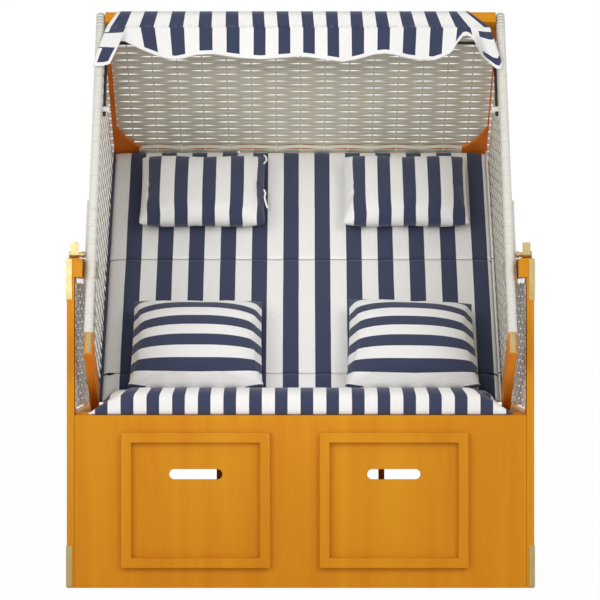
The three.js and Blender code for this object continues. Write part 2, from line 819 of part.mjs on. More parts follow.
function hoodSide(name, side) {
  const r = tubeRadius;
  const tube = [new THREE.Vector2(0, tubeFoot), new THREE.Vector2(r, tubeFoot)];
  const capSteps = 5;
  for (let i = 0; i <= capSteps; i++) {
    const turn = (Math.PI / 2) * (i / capSteps);
    tube.push(new THREE.Vector2(i < capSteps ? r * Math.cos(turn) : 0, hoodTop - r + r * Math.sin(turn)));
  }
  piece(
    hood,
    `front_edge_${name}`,
    new THREE.LatheGeometry(tube, 18)
      .rotateX(Math.PI / 2)
      .translate(side * tubeCentreX, tubeAxisY, 0),
    wicker,
  );

  const sideFront = tubeBack + seat;
  const barRearTop = barTopAt(barRear) + seat;
  // The wall's rear corner lies where the back's rear face comes down to its clearance over the deck
  const deckTurn = Math.tan(rad(recline));
  const overDeck = (seatLevel + wallClear - pivotZ) / Math.cos(rad(recline));
  const rearFoot =
    (overDeck + deckTurn * backLineAt(backPanelRear, 0)) / (1 - deckTurn * Math.tan(backTurn));
  const rear = backLineAt(backPanelRear, rearFoot);
  const footAt = (y) =>
    y < barRear
      ? barTopAt(y)
      : THREE.MathUtils.mapLinear(y, barRear, rear, barRearTop, rearFoot);
  const wall = outline([
    [sideFront, barTopAt(sideFront) + seat],
    [barRear, barRearTop],
    [rear, rearFoot],
    [backLineAt(backPanelRear, roofUnder - seat), roofUnder - seat],
    [sideFront, roofUnder - seat],
  ]);
  const wallFar = sideInner + sideThick;
  const clear = (y, z) =>
    z > footAt(y) + gapMargin && y < backLineAt(backPanelRear, z) - gapMargin;
  const openings = weaveGaps(
    [sideFront + gapMargin, tubeFoot + gapMargin],
    [backLineAt(backPanelRear, roofUnder) - gapMargin, roofUnder - gapMargin],
    wallGaps,
  )
    .filter(([y0, z0, y1]) => clear(y0, z0) && clear(y1, z0))
    .map(([y0, z0, y1, z1]) => sideBlock(side, sideInner - overrun, wallFar + overrun, y0, y1, z0, z1));
  piece(hood, `hood_side_${name}`, cut(alongX(wall, side, sideInner, wallFar), ...openings), wicker);

  const bar = outline([
    [tubeFront, barFoot],
    [barRear, barTopAt(barRear) - barHeight],
    [barRear, barTopAt(barRear)],
    [sideFront, barTopAt(sideFront)],
    [sideFront, tubeFoot - seat],
    [tubeFront, tubeFoot - seat],
  ]);
  piece(hood, `bottom_bar_${name}`, alongX(bar, side, barInner, barInner + barThick), wood);

  const plateNear = barInner + (barThick - endPlateWidth) / 2;
  const plateFar = plateNear + endPlateWidth;
  const plateTop = tubeFoot - endPlateDrop;
  piece(
    hood,
    `bar_end_plate_${name}`,
    sideBlock(
      side,
      plateNear,
      plateFar,
      tubeFront - seat - endPlateThick,
      tubeFront - seat,
      plateTop - endPlateHeight,
      plateTop,
    ),
    brass,
  );

  piece(
    hood,
    `pivot_plate_${name}`,
    sideBlock(
      side,
      sideInner + sideThick + seat,
      pivotPlateOuter,
      tubeBack + seat,
      tubeBack + seat + pivotPlateDepth,
      -pivotPlateBelow,
      pivotPlateAbove,
    ),
    wicker,
  );
}

// The pivot bolt: through the hook, with a collar at the hood and a head past the hook.
function pivotBolt(name, side) {
  const collar = pivotPlateOuter + seat;
  const hookFar = outerX - hookOuterInset;
  const head = hookFar + boltHeadClear;
  const profile = [
    [collar, 0],
    [collar, boltCollarRadius],
    [collar + boltCollarLength, boltCollarRadius],
    [collar + boltCollarLength, boltRadius],
    [head, boltRadius],
    [head, boltHeadRadius],
    [head + boltHeadLength, boltHeadRadius],
    [head + boltHeadLength, 0],
  ];
  return turnedX(side, profile, 0, 0);
}

// The roof: wicker, a wooden frame with a bracket in each corner under it, and the front rail.
function roof() {
  const half = sideInner + sideThick;
  const rear = backLineAt(backPanelRear, hoodTop);
  const skin = block([-half, tubeBack + seat, roofUnder], [half, rear, hoodTop]);
  const openings = weaveGaps(
    [-half + gapMargin, tubeBack + gapMargin],
    [half - gapMargin, rear - gapMargin],
    roofGaps,
  ).map(([x0, y0, x1, y1]) => block([x0, y0, roofUnder - overrun], [x1, y1, hoodTop + overrun]));
  piece(hood, "roof_panel", cut(skin, ...openings), wicker);
  const railHalf = tubeCentreX - tubeRadius - seat;
  piece(
    hood,
    "roof_front_rail",
    block([-railHalf, tubeFront, frontRailTop - frontRailHeight], [railHalf, tubeBack, frontRailTop]),
    wood,
  );

  const frameTop = roofUnder - seat;
  const frameFoot = frameTop - roofBattenThick;
  const outer = sideInner - seat;
  const front = tubeBack + seat;
  const back = backLineAt(cushionThick, frameFoot) - seat;
  const shape = rectangle(-outer, front, outer, back);
  const inner = roofBattens.map((width) => outer - width);
  const y0 = front + roofFrontBatten;
  const y1 = backLineAt(0, frameFoot) - roofRearBattenProud;
  const hollow = bracketHollowShare;
  const hole = new THREE.Path();
  // Round the corners in turn: each bracket's free edge curves in towards its corner
  const corners = [
    [-1, y0, 1, false],
    [1, y0, 1, true],
    [1, y1, -1, false],
    [-1, y1, -1, true],
  ];
  corners.forEach(([sx, y, sy, sideFirst], i) => {
    const side = inner[sx < 0 ? 0 : 1];
    const onRail = [sx * (side - bracketAcross), y];
    const onBatten = [sx * side, y + sy * bracketAlong];
    const [from, to] = sideFirst ? [onRail, onBatten] : [onBatten, onRail];
    const pull = [sx * (side - bracketAcross * hollow), y + sy * bracketAlong * hollow];
    if (i) hole.lineTo(...from);
    else hole.moveTo(...from);
    hole.quadraticCurveTo(...pull, ...to);
  });
  hole.closePath();
  shape.holes.push(hole);
  piece(hood, "roof_frame", alongZ(shape, frameFoot, frameTop, 6), wood);
}

// The back, in a group that leans with it: y runs to the rear and z up the back.
const back = new THREE.Group();
back.position.set(0, backFootY, backFootZ);
back.rotation.x = -backTurn;
hood.add(back);

function backBoards() {
  const half = sideInner - seat;
  const frameFront = cushionThick + seat;
  const frameRear = frameFront + backFrameThick;
  const bays = [];
  const bay = (backTop - backFrameFoot - backRailCount * backRail) / (backRailCount - 1);
  for (let i = 0; i < backRailCount - 1; i++) {
    const z = backFrameFoot + backRail + i * (bay + backRail);
    bays.push(
      block(
        [-half + backStile, frameFront - overrun, z],
        [half - backStile, frameRear + overrun, z + bay],
      ),
    );
  }
  const whole = block([-half, frameFront, backFrameFoot], [half, frameRear, backTop]);
  piece(back, "back_frame", cut(whole, ...bays), wood);
  piece(
    back,
    "back_panel",
    block([-half, frameRear + seat, backFrameFoot], [half, frameRear + seat + backSkin, backTop]),
    wicker,
  );
}

// The back cushion: full between its two sewn channels, cut away at the foot where it meets the seat.
function backCushion() {
  const rear = cushionThick;
  const footRise = cushionThick * Math.tan(rad(recline + backLean));
  const face = [];
  const seams = backSeams;
  const marks = [backCushionFoot, ...seams, backCushionTop];
  for (let k = 0; k < marks.length - 1; k++) {
    const [lo, hi] = [marks[k], marks[k + 1]];
    if (k) face.push([channelDepth, lo]);
    face.push([seat, lo + channelWidth]);
    face.push([seat, (lo + hi) / 2]);
    face.push([seat, hi - channelWidth]);
  }
  const profile = [
    [rear * backFootCut, backCushionFoot + footRise * backFootCut],
    [channelDepth, backCushionFoot + channelDepth],
    ...face,
    [channelDepth, backCushionTop - seat],
    [rear / 2, backCushionTop],
    [rear - seat, backCushionTop - channelDepth],
    [rear, backCushionTop / 2],
    [rear, backCushionFoot + footRise],
  ];
  const axis = rear / 2;
  const rings = backStationShares.map((share) => {
    const across = 2 * share - 1;
    const fullness = endFullness(across, backEndPower);
    const swell = THREE.MathUtils.lerp(backEndThick, 1, fullness);
    return profile.map(([y, z]) => [across * backCushionHalf, axis + (y - axis) * swell, z]);
  });
  piece(back, "back_cushion", loft(rings), stripes);
}

// A knife-edged pillow that stands on z = 0: full below its middle, drawn in along its sides.
function pillow({ width, height, thick, pinch, roundness }) {
  const grid = 14;
  const at = (face) => (u, v) => {
    const a = Math.sin((u - 0.5) * Math.PI);
    const b = Math.sin((v - 0.5) * Math.PI);
    const x = a * (width / 2 - pinch * (1 - b * b));
    const z = b * (height / 2 - pinch * (1 - a * a)) + height / 2;
    const lower = 2 * ((b + 1) / 2) ** pillowSag - 1;
    const full = (1 - Math.abs(a) ** roundness) * (1 - Math.abs(lower) ** roundness);
    const bulge = (thick / 2) * Math.max(full, 0) ** pillowFullness;
    return [x, face * bulge, z];
  };
  return padded(at(-1), at(1), grid, grid);
}

// The awning's cloth: over the front rail, folded at its lower edge, then hanging in waves to a hem that
// arches up near each end and drops to a flap at the corners.
function awningCloth() {
  const front = tubeFront - clothClear;
  const top = frontRailTop + clothClear;
  const fallY = Math.sin(rad(recline));
  const fallZ = Math.cos(rad(recline));
  const [edgeRow, foldRow, down] = clothRows;
  const centre = (u, t) => {
    const w = 2 * u - 1;
    const edge = Math.abs(w);
    const foldZ = frontRailTop - clothFold;
    if (t <= edgeRow / down) {
      const k = (t * down) / edgeRow;
      const y = THREE.MathUtils.lerp(tubeFront + clothLap, front, k);
      return [w * clothTopHalf, y, top];
    }
    if (t <= foldRow / down) {
      const k = (t * down - edgeRow) / (foldRow - edgeRow);
      const half = THREE.MathUtils.lerp(clothTopHalf, clothFoldHalf, k);
      return [w * half, front - clothThick, THREE.MathUtils.lerp(top - clothThick, foldZ, k)];
    }
    const k = (t * down - foldRow) / (down - foldRow);
    const flap = THREE.MathUtils.smoothstep(edge, clothFlapShare, 1);
    const arch = Math.exp(-(((edge - clothArchShare) / clothArchWidthShare) ** 2));
    const drop = k * (clothDrop + clothFlapDrop * flap - clothArch * arch);
    const wave = clothWave * k * Math.sin(w * clothWaves * Math.PI);
    const hang = THREE.MathUtils.lerp(fallY * drop, 0, flap);
    const fall = THREE.MathUtils.lerp(fallZ * drop, drop, flap);
    const half = THREE.MathUtils.lerp(clothFoldHalf, clothHemHalf, k * flap);
    return [w * half, front - clothThick - clothWave + hang + wave * (1 - flap), foldZ - fall];
  };
  const offset = (u, t, amount) => {
    const step = 1e-3; // of the sheet, for its slope
    const p = centre(u, t);
    const a = new THREE.Vector3(...centre(Math.min(u + step, 1), t)).sub(
      new THREE.Vector3(...centre(Math.max(u - step, 0), t)),
    );
    const b = new THREE.Vector3(...centre(u, Math.min(t + step, 1))).sub(
      new THREE.Vector3(...centre(u, Math.max(t - step, 0))),
    );
    const n = b.cross(a).normalize().multiplyScalar(amount);
    return [p[0] + n.x, p[1] + n.y, p[2] + n.z];
  };
  const face = (amount) => (u, t) => offset(u, t, amount);
  return padded(face(clothThick / 2), face(-clothThick / 2), clothColumns, down);
}

// The bow: two arms and a bar, bent from one rod, upright behind the front rail.
function awningBow() {
  const corner = (sx) => new THREE.Vector3(sx * bowX, 0, bowReach);
  const path = new THREE.CurvePath();
  const start = new THREE.Vector3(-bowX, 0, -bowStub);
  const leftUp = new THREE.Vector3(-bowX, 0, bowReach - bowBend);
  const leftIn = new THREE.Vector3(-bowX + bowBend, 0, bowReach);
  const rightIn = new THREE.Vector3(bowX - bowBend, 0, bowReach);
  const rightUp = new THREE.Vector3(bowX, 0, bowReach - bowBend);
  const end = new THREE.Vector3(bowX, 0, -bowStub);
  path.add(new THREE.LineCurve3(start, leftUp));
  path.add(new THREE.QuadraticBezierCurve3(leftUp, corner(-1), leftIn));
  path.add(new THREE.LineCurve3(leftIn, rightIn));
  path.add(new THREE.QuadraticBezierCurve3(rightIn, corner(1), rightUp));
  path.add(new THREE.LineCurve3(rightUp, end));
  const section = new THREE.Shape();
  section.absarc(0, 0, bowRadius, 0, 2 * Math.PI);
  return new THREE.ExtrudeGeometry(section, {
    extrudePath: path,
    steps: 96,
    curveSegments: 5,
    bevelEnabled: false,
  });
}

function awning() {
  piece(hood, "awning_cloth", awningCloth(), stripes);
  piece(hood, "awning_bow", awningBow().translate(0, bowPivotY, bowPivotZ), black);
  for (const [name, side] of sides) {
    const profile = [
      [knobInner, 0],
      [knobInner, knobRadius],
      [sideInner - seat, knobRadius],
      [sideInner - seat, 0],
    ];
    const knob = turnedX(side, profile, bowPivotY, bowPivotZ, smallFacets);
    const rod = new THREE.CylinderGeometry(bowRadius + seat, bowRadius + seat, 4 * knobRadius, 12)
      .rotateX(Math.PI / 2)
      .translate(side * bowX, bowPivotY, bowPivotZ);
    piece(hood, `bow_knob_${name}`, cut(knob, rod), white);
  }
}

// The latch: a bolt behind the back on each side, in a square guide, with a turned knob.
function latch(name, side) {
  const tip = rackInner - latchTipClear;
  const tail = tip - latchLength;
  const profile = [
    [tail - latchKnobLength, 0],
    [tail - latchKnobLength, latchKnobRadius],
    [tail, latchKnobRadius],
    [tail, latchRadius],
    [tip, latchRadius],
    [tip, 0],
  ];
  piece(back, `latch_bolt_${name}`, turnedX(side, profile, latchLocal, latchUp), brass);
  const halfSize = guideSize / 2;
  const far = sideInner - guideInset;
  const near = far - guideLength;
  const body = sideBlock(
    side,
    near,
    far,
    latchLocal - halfSize,
    latchLocal + halfSize,
    latchUp - halfSize,
    latchUp + halfSize,
  );
  const bore = drill(side, near, far, latchRadius + seat, latchLocal, latchUp);
  piece(back, `latch_guide_${name}`, cut(body, bore), brass);
}

frontPanel();
seatDeck();
rearFrame();
runners();
seatCushion();
for (const [name, side] of sides) {
  sideWall(name, side);
  seatRail(name, side);
  cornerPlates(name, side);
  pivotHook(name, side);
  reclineRack(name, side);
  hoodSide(name, side);
  piece(hood, `pivot_bolt_${name}`, pivotBolt(name, side), brass);
  latch(name, side);
}
for (const [name, x] of footrests) footrest(name, x);
roof();
backBoards();
backCushion();
awning();
sides.forEach(([name], i) => {
  const head = pillow(headPillow).translate(headPillowX[i], -headPillow.thick / 2 - seat, headPillowFoot);
  piece(back, `head_pillow_${name}`, head, stripes);
  const low = piece(chair, `low_pillow_${name}`, pillow(lowPillow), stripes);
  low.position.set(lowPillowX[i], frontY + lowPillowSetback, lowPillowFoot);
  low.rotation.x = -rad(lowPillowLean);
});

export default chair;
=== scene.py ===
# %% [markdown]
# A two-seat hooded beach chair. The wooden base, the hood's frame and the brass come straight from the
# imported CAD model. The wicker, the wrapped tubes, the cushions and the awning are dressed here, because
# their charm is in weave, stitching and soft outlines that a plain solid doesn't have.

# %% Load the frame
import json
import math

import bpy
import bmesh
import numpy as np
from mathutils import Matrix, Vector


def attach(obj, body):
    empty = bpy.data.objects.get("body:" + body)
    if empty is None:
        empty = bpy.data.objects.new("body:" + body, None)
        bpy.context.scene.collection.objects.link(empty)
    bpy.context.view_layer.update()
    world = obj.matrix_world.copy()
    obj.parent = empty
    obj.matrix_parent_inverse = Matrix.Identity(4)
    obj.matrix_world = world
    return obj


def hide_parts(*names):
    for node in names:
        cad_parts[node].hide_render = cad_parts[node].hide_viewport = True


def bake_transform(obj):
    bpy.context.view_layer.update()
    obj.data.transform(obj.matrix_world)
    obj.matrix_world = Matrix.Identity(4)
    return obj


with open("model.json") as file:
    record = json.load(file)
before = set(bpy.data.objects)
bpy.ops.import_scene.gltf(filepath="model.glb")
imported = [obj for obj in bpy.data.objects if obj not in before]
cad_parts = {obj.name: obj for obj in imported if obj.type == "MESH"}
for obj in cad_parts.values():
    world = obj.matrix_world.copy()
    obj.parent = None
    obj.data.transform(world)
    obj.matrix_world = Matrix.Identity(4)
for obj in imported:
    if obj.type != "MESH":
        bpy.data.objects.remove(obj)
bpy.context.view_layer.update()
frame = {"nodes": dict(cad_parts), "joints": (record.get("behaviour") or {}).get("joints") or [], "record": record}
nodes = frame["nodes"]

# %% [markdown]
# The chair is seen from the front with a long lens at about the height of its arms, so upright edges
# stay upright and the hood's sides close in only a little.

# %% Camera
PHOTO = 600
FOCAL_PX = 3259
EYE = (0.0, -8.2095, 0.712)
CENTRE_PX = (300.5, 305.0)
SENSOR = 36.0


def add_object(name, data):
    made = bpy.data.objects.new(name, data)
    bpy.context.scene.collection.objects.link(made)
    return made

camera_data = bpy.data.cameras.new("camera")
camera_data.sensor_width = SENSOR
camera_data.lens = FOCAL_PX / PHOTO * SENSOR
camera_data.shift_x = (PHOTO / 2 - CENTRE_PX[0]) / PHOTO
camera_data.shift_y = (CENTRE_PX[1] - PHOTO / 2) / PHOTO
camera_data.clip_end = 60
camera = add_object("camera", camera_data)
camera.location = EYE
camera.rotation_euler = (math.pi / 2, 0, 0)
bpy.context.scene.camera = camera
bpy.context.scene.view_settings.view_transform = "Standard"

# %% [markdown]
# A white studio: a pale sky that lights everything evenly, a soft lamp in front on the right, a wider one
# on the left, and a narrow one that reaches in under the hood. To the camera the floor and the sky are
# plain white.


# %% Small helpers for materials
def new_material(name):
    made = bpy.data.materials.new(name)
    made.use_nodes = True
    shader = made.node_tree.nodes["Principled BSDF"]
    return made, made.node_tree, shader


def wire(tree, node, values):
    """Links each named socket to another node's output, or gives it a plain value."""
    for key, value in values.items():
        if hasattr(value, "is_linked"):
            tree.links.new(value, node.inputs[key])
        else:
            node.inputs[key].default_value = value
    return node


def add_node(tree, kind, values=(), **settings):
    node = tree.nodes.new(kind)
    for key, value in settings.items():
        setattr(node, key, value)
    return wire(tree, node, dict(values))


def maths(tree, operation, *values, clamp=False):
    given = dict(enumerate(values))
    return add_node(tree, "ShaderNodeMath", given, operation=operation, use_clamp=clamp).outputs[0]


def noise(tree, vector, **values):
    return add_node(tree, "ShaderNodeTexNoise", {"Vector": vector, **values}).outputs["Fac"]


def mixed(tree, share, first, second, **settings):
    """A colour between two others: the first where the share is 0 and the second where it is 1."""
    given = {0: share, 6: first, 7: second}
    return add_node(tree, "ShaderNodeMix", given, data_type="RGBA", **settings).outputs[2]


def stretched(tree, vector, by):
    return add_node(tree, "ShaderNodeVectorMath", {0: vector, 1: by}, operation="MULTIPLY").outputs[0]


def bump(tree, shader, height, distance, strength):
    relief = add_node(tree, "ShaderNodeBump", {"Distance": distance, "Strength": strength, "Height": height})
    wire(tree, shader, {"Normal": relief.outputs[0]})


def srgb(red, green, blue):
    """A colour as it is read off a screen, 0 to 255, turned to the linear values Blender works in."""
    return (*[((v / 255 + 0.055) / 1.055) ** 2.4 if v > 10 else v / 3294.6 for v in (red, green, blue)], 1.0)


# %% Sky, lamps and floor
world = bpy.data.worlds.new("studio")
bpy.context.scene.world = world
world.use_nodes = True
sky = world.node_tree
background = sky.nodes["Background"]
background.inputs["Color"].default_value = (1, 1, 1, 1)
path = add_node(sky, "ShaderNodeLightPath")
seen = maths(sky, "MAXIMUM", path.outputs["Is Camera Ray"], path.outputs["Is Glossy Ray"])
seen = maths(sky, "MAXIMUM", seen, path.outputs["Is Transmission Ray"])
SKY_LIGHT = 0.66
sky.links.new(maths(sky, "MULTIPLY_ADD", seen, 1 - SKY_LIGHT, SKY_LIGHT), background.inputs["Strength"])


def lamp(name, kind, place, aim, power, **settings):
    data = bpy.data.lights.new(name, kind)
    data.energy = power
    for key, value in settings.items():
        setattr(data, key, value)
    made = add_object(name, data)
    made.location = place
    made.rotation_euler = (Vector(aim) - Vector(place)).to_track_quat("-Z", "Y").to_euler()


lamp("key lamp", "AREA", (2.6, -4.2, 3.2), (0, 0.3, 0.6), 68, size=2.2)
lamp("fill lamp", "AREA", (-3.4, -4.6, 2.4), (0, 0.3, 0.7), 84, size=3.0)
cone = {"spot_size": math.radians(11), "spot_blend": 1.0, "shadow_soft_size": 0.5}
lamp("inner lamp", "SPOT", (-0.9, -6.0, 1.5), (0.0, 0.75, 0.92), 780, **cone)

FLOOR_SPAN, FLOOR_WHITE, FLOOR_GLOW = 30, 0.86, 0.97
SQUARE = ((-1, -1), (1, -1), (1, 1), (-1, 1))
floor_mesh = bpy.data.meshes.new("floor")
floor_mesh.from_pydata([(x * FLOOR_SPAN, y * FLOOR_SPAN, 0) for x, y in SQUARE], [], [(0, 1, 2, 3)])
floor = add_object("floor", floor_mesh)
floor_finish, tree, shader = new_material("floor white")
tree.nodes.remove(shader)
plain = add_node(tree, "ShaderNodeBsdfDiffuse", {"Color": (FLOOR_WHITE, FLOOR_WHITE, FLOOR_WHITE, 1)})
glow = add_node(tree, "ShaderNodeEmission", {"Color": (1, 1, 1, 1), "Strength": 1.0})
path = add_node(tree, "ShaderNodeLightPath")
seen = maths(tree, "MULTIPLY", path.outputs["Is Camera Ray"], FLOOR_GLOW)
mix = add_node(tree, "ShaderNodeMixShader", {0: seen, 1: plain.outputs[0], 2: glow.outputs[0]})
wire(tree, tree.nodes["Material Output"], {"Surface": mix.outputs[0]})
floor_mesh.materials.append(floor_finish)

# %% [markdown]
# The wood is a honey-orange oiled softwood. Its grain is a noise stretched along the board, with finer
# fibres over it. One node group makes it, and each material turns it to the way the board runs. Two
# redder copies paint in the warm shade that the hood's inner boards and the bottom bars stand in.


# %% Grain, shared by every board
def new_group(name, inputs, outputs, kind="ShaderNodeTree"):
    group = bpy.data.node_groups.new(name, kind)
    for socket, holds, value in inputs:
        made = group.interface.new_socket(socket, in_out="INPUT", socket_type=holds)
        if value is not None:
            made.default_value = value
    for socket, holds in outputs:
        group.interface.new_socket(socket, in_out="OUTPUT", socket_type=holds)
    return group, group.nodes.new("NodeGroupInput"), group.nodes.new("NodeGroupOutput")


VECTOR, FLOAT, COLOUR = "NodeSocketVector", "NodeSocketFloat", "NodeSocketColor"

grain, g_in, g_out = new_group(
    "wood grain",
    [
        ("Vector", VECTOR, None),
        ("Light", COLOUR, srgb(213, 147, 26)),
        ("Dark", COLOUR, srgb(197, 117, 14)),
        ("Bands", FLOAT, 14.0),
        ("Fibres", FLOAT, 160.0),
    ],
    [("Color", COLOUR), ("Height", FLOAT)],
)
GRAIN_STRETCH = (1.0, 1.0, 0.07)
# Each as a factor and what is added to it
BAND_CONTRAST, FIBRE_CONTRAST = (2.2, -0.6), (0.5, 0.25)
FIBRE_SHARE, BAND_SHARE = 0.5, 0.62
along = stretched(grain, g_in.outputs["Vector"], GRAIN_STRETCH)
bands = noise(grain, along, Scale=g_in.outputs["Bands"], Detail=3.0, Roughness=0.55, Distortion=0.6)
fibres = noise(grain, along, Scale=g_in.outputs["Fibres"], Detail=2.0, Roughness=0.6)
soft = maths(grain, "MULTIPLY_ADD", bands, *BAND_CONTRAST, clamp=True)
fine = maths(grain, "MULTIPLY_ADD", fibres, *FIBRE_CONTRAST)
soft = maths(grain, "MULTIPLY", soft, BAND_SHARE)
blend = maths(grain, "MULTIPLY_ADD", fine, FIBRE_SHARE, soft, clamp=True)
tint = mixed(grain, blend, g_in.outputs["Dark"], g_in.outputs["Light"])
wire(grain, g_out, {"Color": tint, "Height": fibres})


def place_group(tree, group, **values):
    return add_node(tree, "ShaderNodeGroup", values, node_tree=group)


def wood_finish(name, turn, **tints):
    """Wood whose grain runs along z, turned by these angles to run another way."""
    made, tree, shader = new_material(name)
    where = add_node(tree, "ShaderNodeTexCoord").outputs["Object"]
    turned = add_node(tree, "ShaderNodeMapping", {"Vector": where, "Rotation": turn})
    look = place_group(tree, grain, Vector=turned.outputs[0], **tints)
    wire(tree, shader, {"Base Color": look.outputs["Color"], "Roughness": 0.5, "Specular IOR Level": 0.12})
    bump(tree, shader, look.outputs["Height"], 0.0006, 0.35)
    return made


QUARTER = math.pi / 2
wood_up = wood_finish("wood upright", (0, 0, 0))
wood_across = wood_finish("wood across", (0, QUARTER, 0))
wood_deep = wood_finish("wood front to back", (QUARTER, 0, 0))
# Two redder copies of the wood are painted shade: the warm red of the hood's inner boards and bottom bars in
# shade.
PAINTED_SHADE_RED_TINTS = {"Light": srgb(232, 130, 44), "Dark": srgb(214, 100, 28)}
painted_shade_across = wood_finish("wood across with painted red shade", (0, QUARTER, 0), **PAINTED_SHADE_RED_TINTS)
painted_shade_bar_wood = wood_finish("bar wood with painted red shade", (QUARTER, 0, 0), Light=srgb(226, 138, 36), Dark=srgb(208, 108, 24))

# %% [markdown]
# Sawn boards have their edges broken with a sander. The CAD nodes stay, and a weld and a small bevel on
# each give that edge, so that it catches the light.


# %% Dress the boards
WELD_WITHIN, SHARP_FROM = 1e-5, math.radians(40)


def carried_by(name):
    return next(body for body, members in frame["record"]["behaviour"]["bodies"].items() if name in members)


def dress(name, finish, edge=0.0):
    node = nodes[name]
    node.data.materials.clear()
    node.data.materials.append(finish)
    if edge:
        weld = node.modifiers.new("weld", "WELD")
        weld.merge_threshold = WELD_WITHIN
        rounded = node.modifiers.new("edge", "BEVEL")
        rounded.width = edge
        rounded.segments = 2
        rounded.limit_method = "ANGLE"
        rounded.angle_limit = SHARP_FROM


def both(*names):
    return [f"{name}_{side}" for name in names for side in ("left", "right")]


BOARD_EDGE = 0.0012
runners = ["runner_left", "runner_right", "runner_middle"]
for finish, edge, names in (
    (wood_up, BOARD_EDGE, ["front_panel", *both("side_frame", "footrest_frame", "recline_rack")]),
    (wood_up, 0.0, both("footrest_board")),
    (wood_across, BOARD_EDGE, ["seat_deck", "rear_frame", "roof_front_rail"]),
    (painted_shade_across, BOARD_EDGE, ["back_frame", "roof_frame"]),
    (wood_deep, BOARD_EDGE, runners + both("arm", "seat_rail", "footrest_box")),
    (painted_shade_bar_wood, BOARD_EDGE, both("bottom_bar")),
):
    for name in names:
        dress(name, finish, edge)

# %% [markdown]
# The fittings are thin brass: corner plates, pivot hooks, pivot bolts and the latches. Their colour shifts
# a little where the plate is tarnished, and fine brushing breaks up the shine.


# %% Brass, black rod and white plastic
def speckled(name, first, second, roughness, scale, metallic=0.0, uneven=0.0, detail=2.0, relief=0.0003):
    """A painted, moulded or metal finish, faintly mottled between two colours."""
    made, tree, shader = new_material(name)
    where = add_node(tree, "ShaderNodeTexCoord").outputs["Object"]
    mottle = noise(tree, where, Scale=scale, Detail=detail)
    worn = maths(tree, "MULTIPLY_ADD", mottle, uneven, roughness) if uneven else roughness
    colour = mixed(tree, mottle, first, second)
    wire(tree, shader, {"Base Color": colour, "Roughness": worn, "Metallic": metallic})
    bump(tree, shader, mottle, relief, 0.3)
    return made


TARNISH = {"metallic": 0.85, "uneven": 0.2, "detail": 3.0, "relief": 0.0004}
brass = speckled("brass", srgb(200, 184, 132), srgb(164, 145, 92), 0.3, 45.0, **TARNISH)
black_rod = speckled("black rod", srgb(26, 26, 28), srgb(44, 44, 46), 0.42, 300.0)
white_knob = speckled("white plastic", srgb(232, 231, 228), srgb(242, 241, 238), 0.35, 200.0)
PLATE_EDGE, KNOB_EDGE = 0.0003, 0.0015
plates = both("corner_plate_upper", "corner_plate_lower", "pivot_hook", "bar_end_plate")
for name in plates + both("latch_guide", "latch_bolt", "pivot_bolt"):
    dress(name, brass, PLATE_EDGE)
dress("awning_bow", black_rod)
for name in both("bow_knob"):
    dress(name, white_knob, KNOB_EDGE)

# %% [markdown]
# The wicker is flat plastic strand, woven over upright stakes: each row passes in front of one stake and
# behind the next, and the next row does the opposite. Pairs of rows squeeze together at a stake and open
# beside it, which leaves the bright lens-shaped gaps. A Geometry Nodes tree weaves straight lines this
# way, with the stake spacing, the strand's size and the two sways as named inputs.


# %% Strand finish
STREAK_CONTRAST = (2.4, -0.7)


def strand_finish(name, light, dark, along, see_through=0.0):
    """Flat plastic strand with fine streaks. Some light passes through the thin ones."""
    made, tree, shader = new_material(name)
    where = add_node(tree, "ShaderNodeTexCoord").outputs["Object"]
    streaks = noise(tree, stretched(tree, where, along), Scale=1.0, Detail=4.0, Roughness=0.65)
    sharper = maths(tree, "MULTIPLY_ADD", streaks, *STREAK_CONTRAST, clamp=True)
    looks = {"Base Color": mixed(tree, sharper, dark, light), "Roughness": 0.5, "Specular IOR Level": 0.3}
    inner = {"Subsurface Weight": see_through, "Subsurface Scale": 0.006, "Subsurface Radius": (1, 1, 1)}
    wire(tree, shader, {**looks, **inner})
    bump(tree, shader, streaks, 0.0008, 0.5)
    return made


STRAND_LIGHT, STRAND_DARK = srgb(229, 225, 210), srgb(204, 197, 178)
strand_across = strand_finish("strand across", STRAND_LIGHT, STRAND_DARK, (18, 420, 420))
strand_deep = strand_finish("strand front to back", STRAND_LIGHT, STRAND_DARK, (420, 18, 420))
# The arm walls' strand is painted paler than the rest of the wicker: painted light on walls that stand in the
# hood's shade. It also lets some light through.
strand_painted_light = strand_finish("strand with painted light", srgb(252, 251, 244), srgb(240, 238, 228), (420, 18, 420), 0.9)
wrap_strand = strand_finish("strand wrapped", srgb(226, 225, 218), srgb(204, 201, 190), (60, 60, 700))


def ringed(source, name, bands):
    """A copy of a strand finish with dark lines across it, at distances kept in the piece's own map."""
    made = source.copy()
    made.name = name
    tree = made.node_tree
    shader = tree.nodes["Principled BSDF"]
    where = add_node(tree, "ShaderNodeTexCoord").outputs["UV"]
    down = add_node(tree, "ShaderNodeSeparateXYZ", {0: where}).outputs[1]
    colour = shader.inputs["Base Color"].links[0].from_socket
    for pitch, width, reach, tint, strength in bands:
        line = maths(tree, "LESS_THAN", maths(tree, "FLOORED_MODULO", down, pitch), width)
        fade = maths(tree, "MULTIPLY_ADD", down, -strength / reach, strength, clamp=True)
        colour = mixed(tree, maths(tree, "MULTIPLY", line, fade), colour, tint)
    wire(tree, shader, {"Base Color": colour})
    return made


# The close dark rings near the tube's top are painted shade in the deep grooves between windings, fading
# downwards; the fainter lines further apart are the strand's joints.
GROOVE_SHADE_DARK, JOINT_DARK = srgb(74, 68, 60), srgb(150, 146, 136)
RINGS = [(0.0094, 0.0019, 0.085, GROOVE_SHADE_DARK, 1.0), (0.0520, 0.0013, 2.0, JOINT_DARK, 0.6)]
ringed_strand = ringed(wrap_strand, "strand ringed", RINGS)


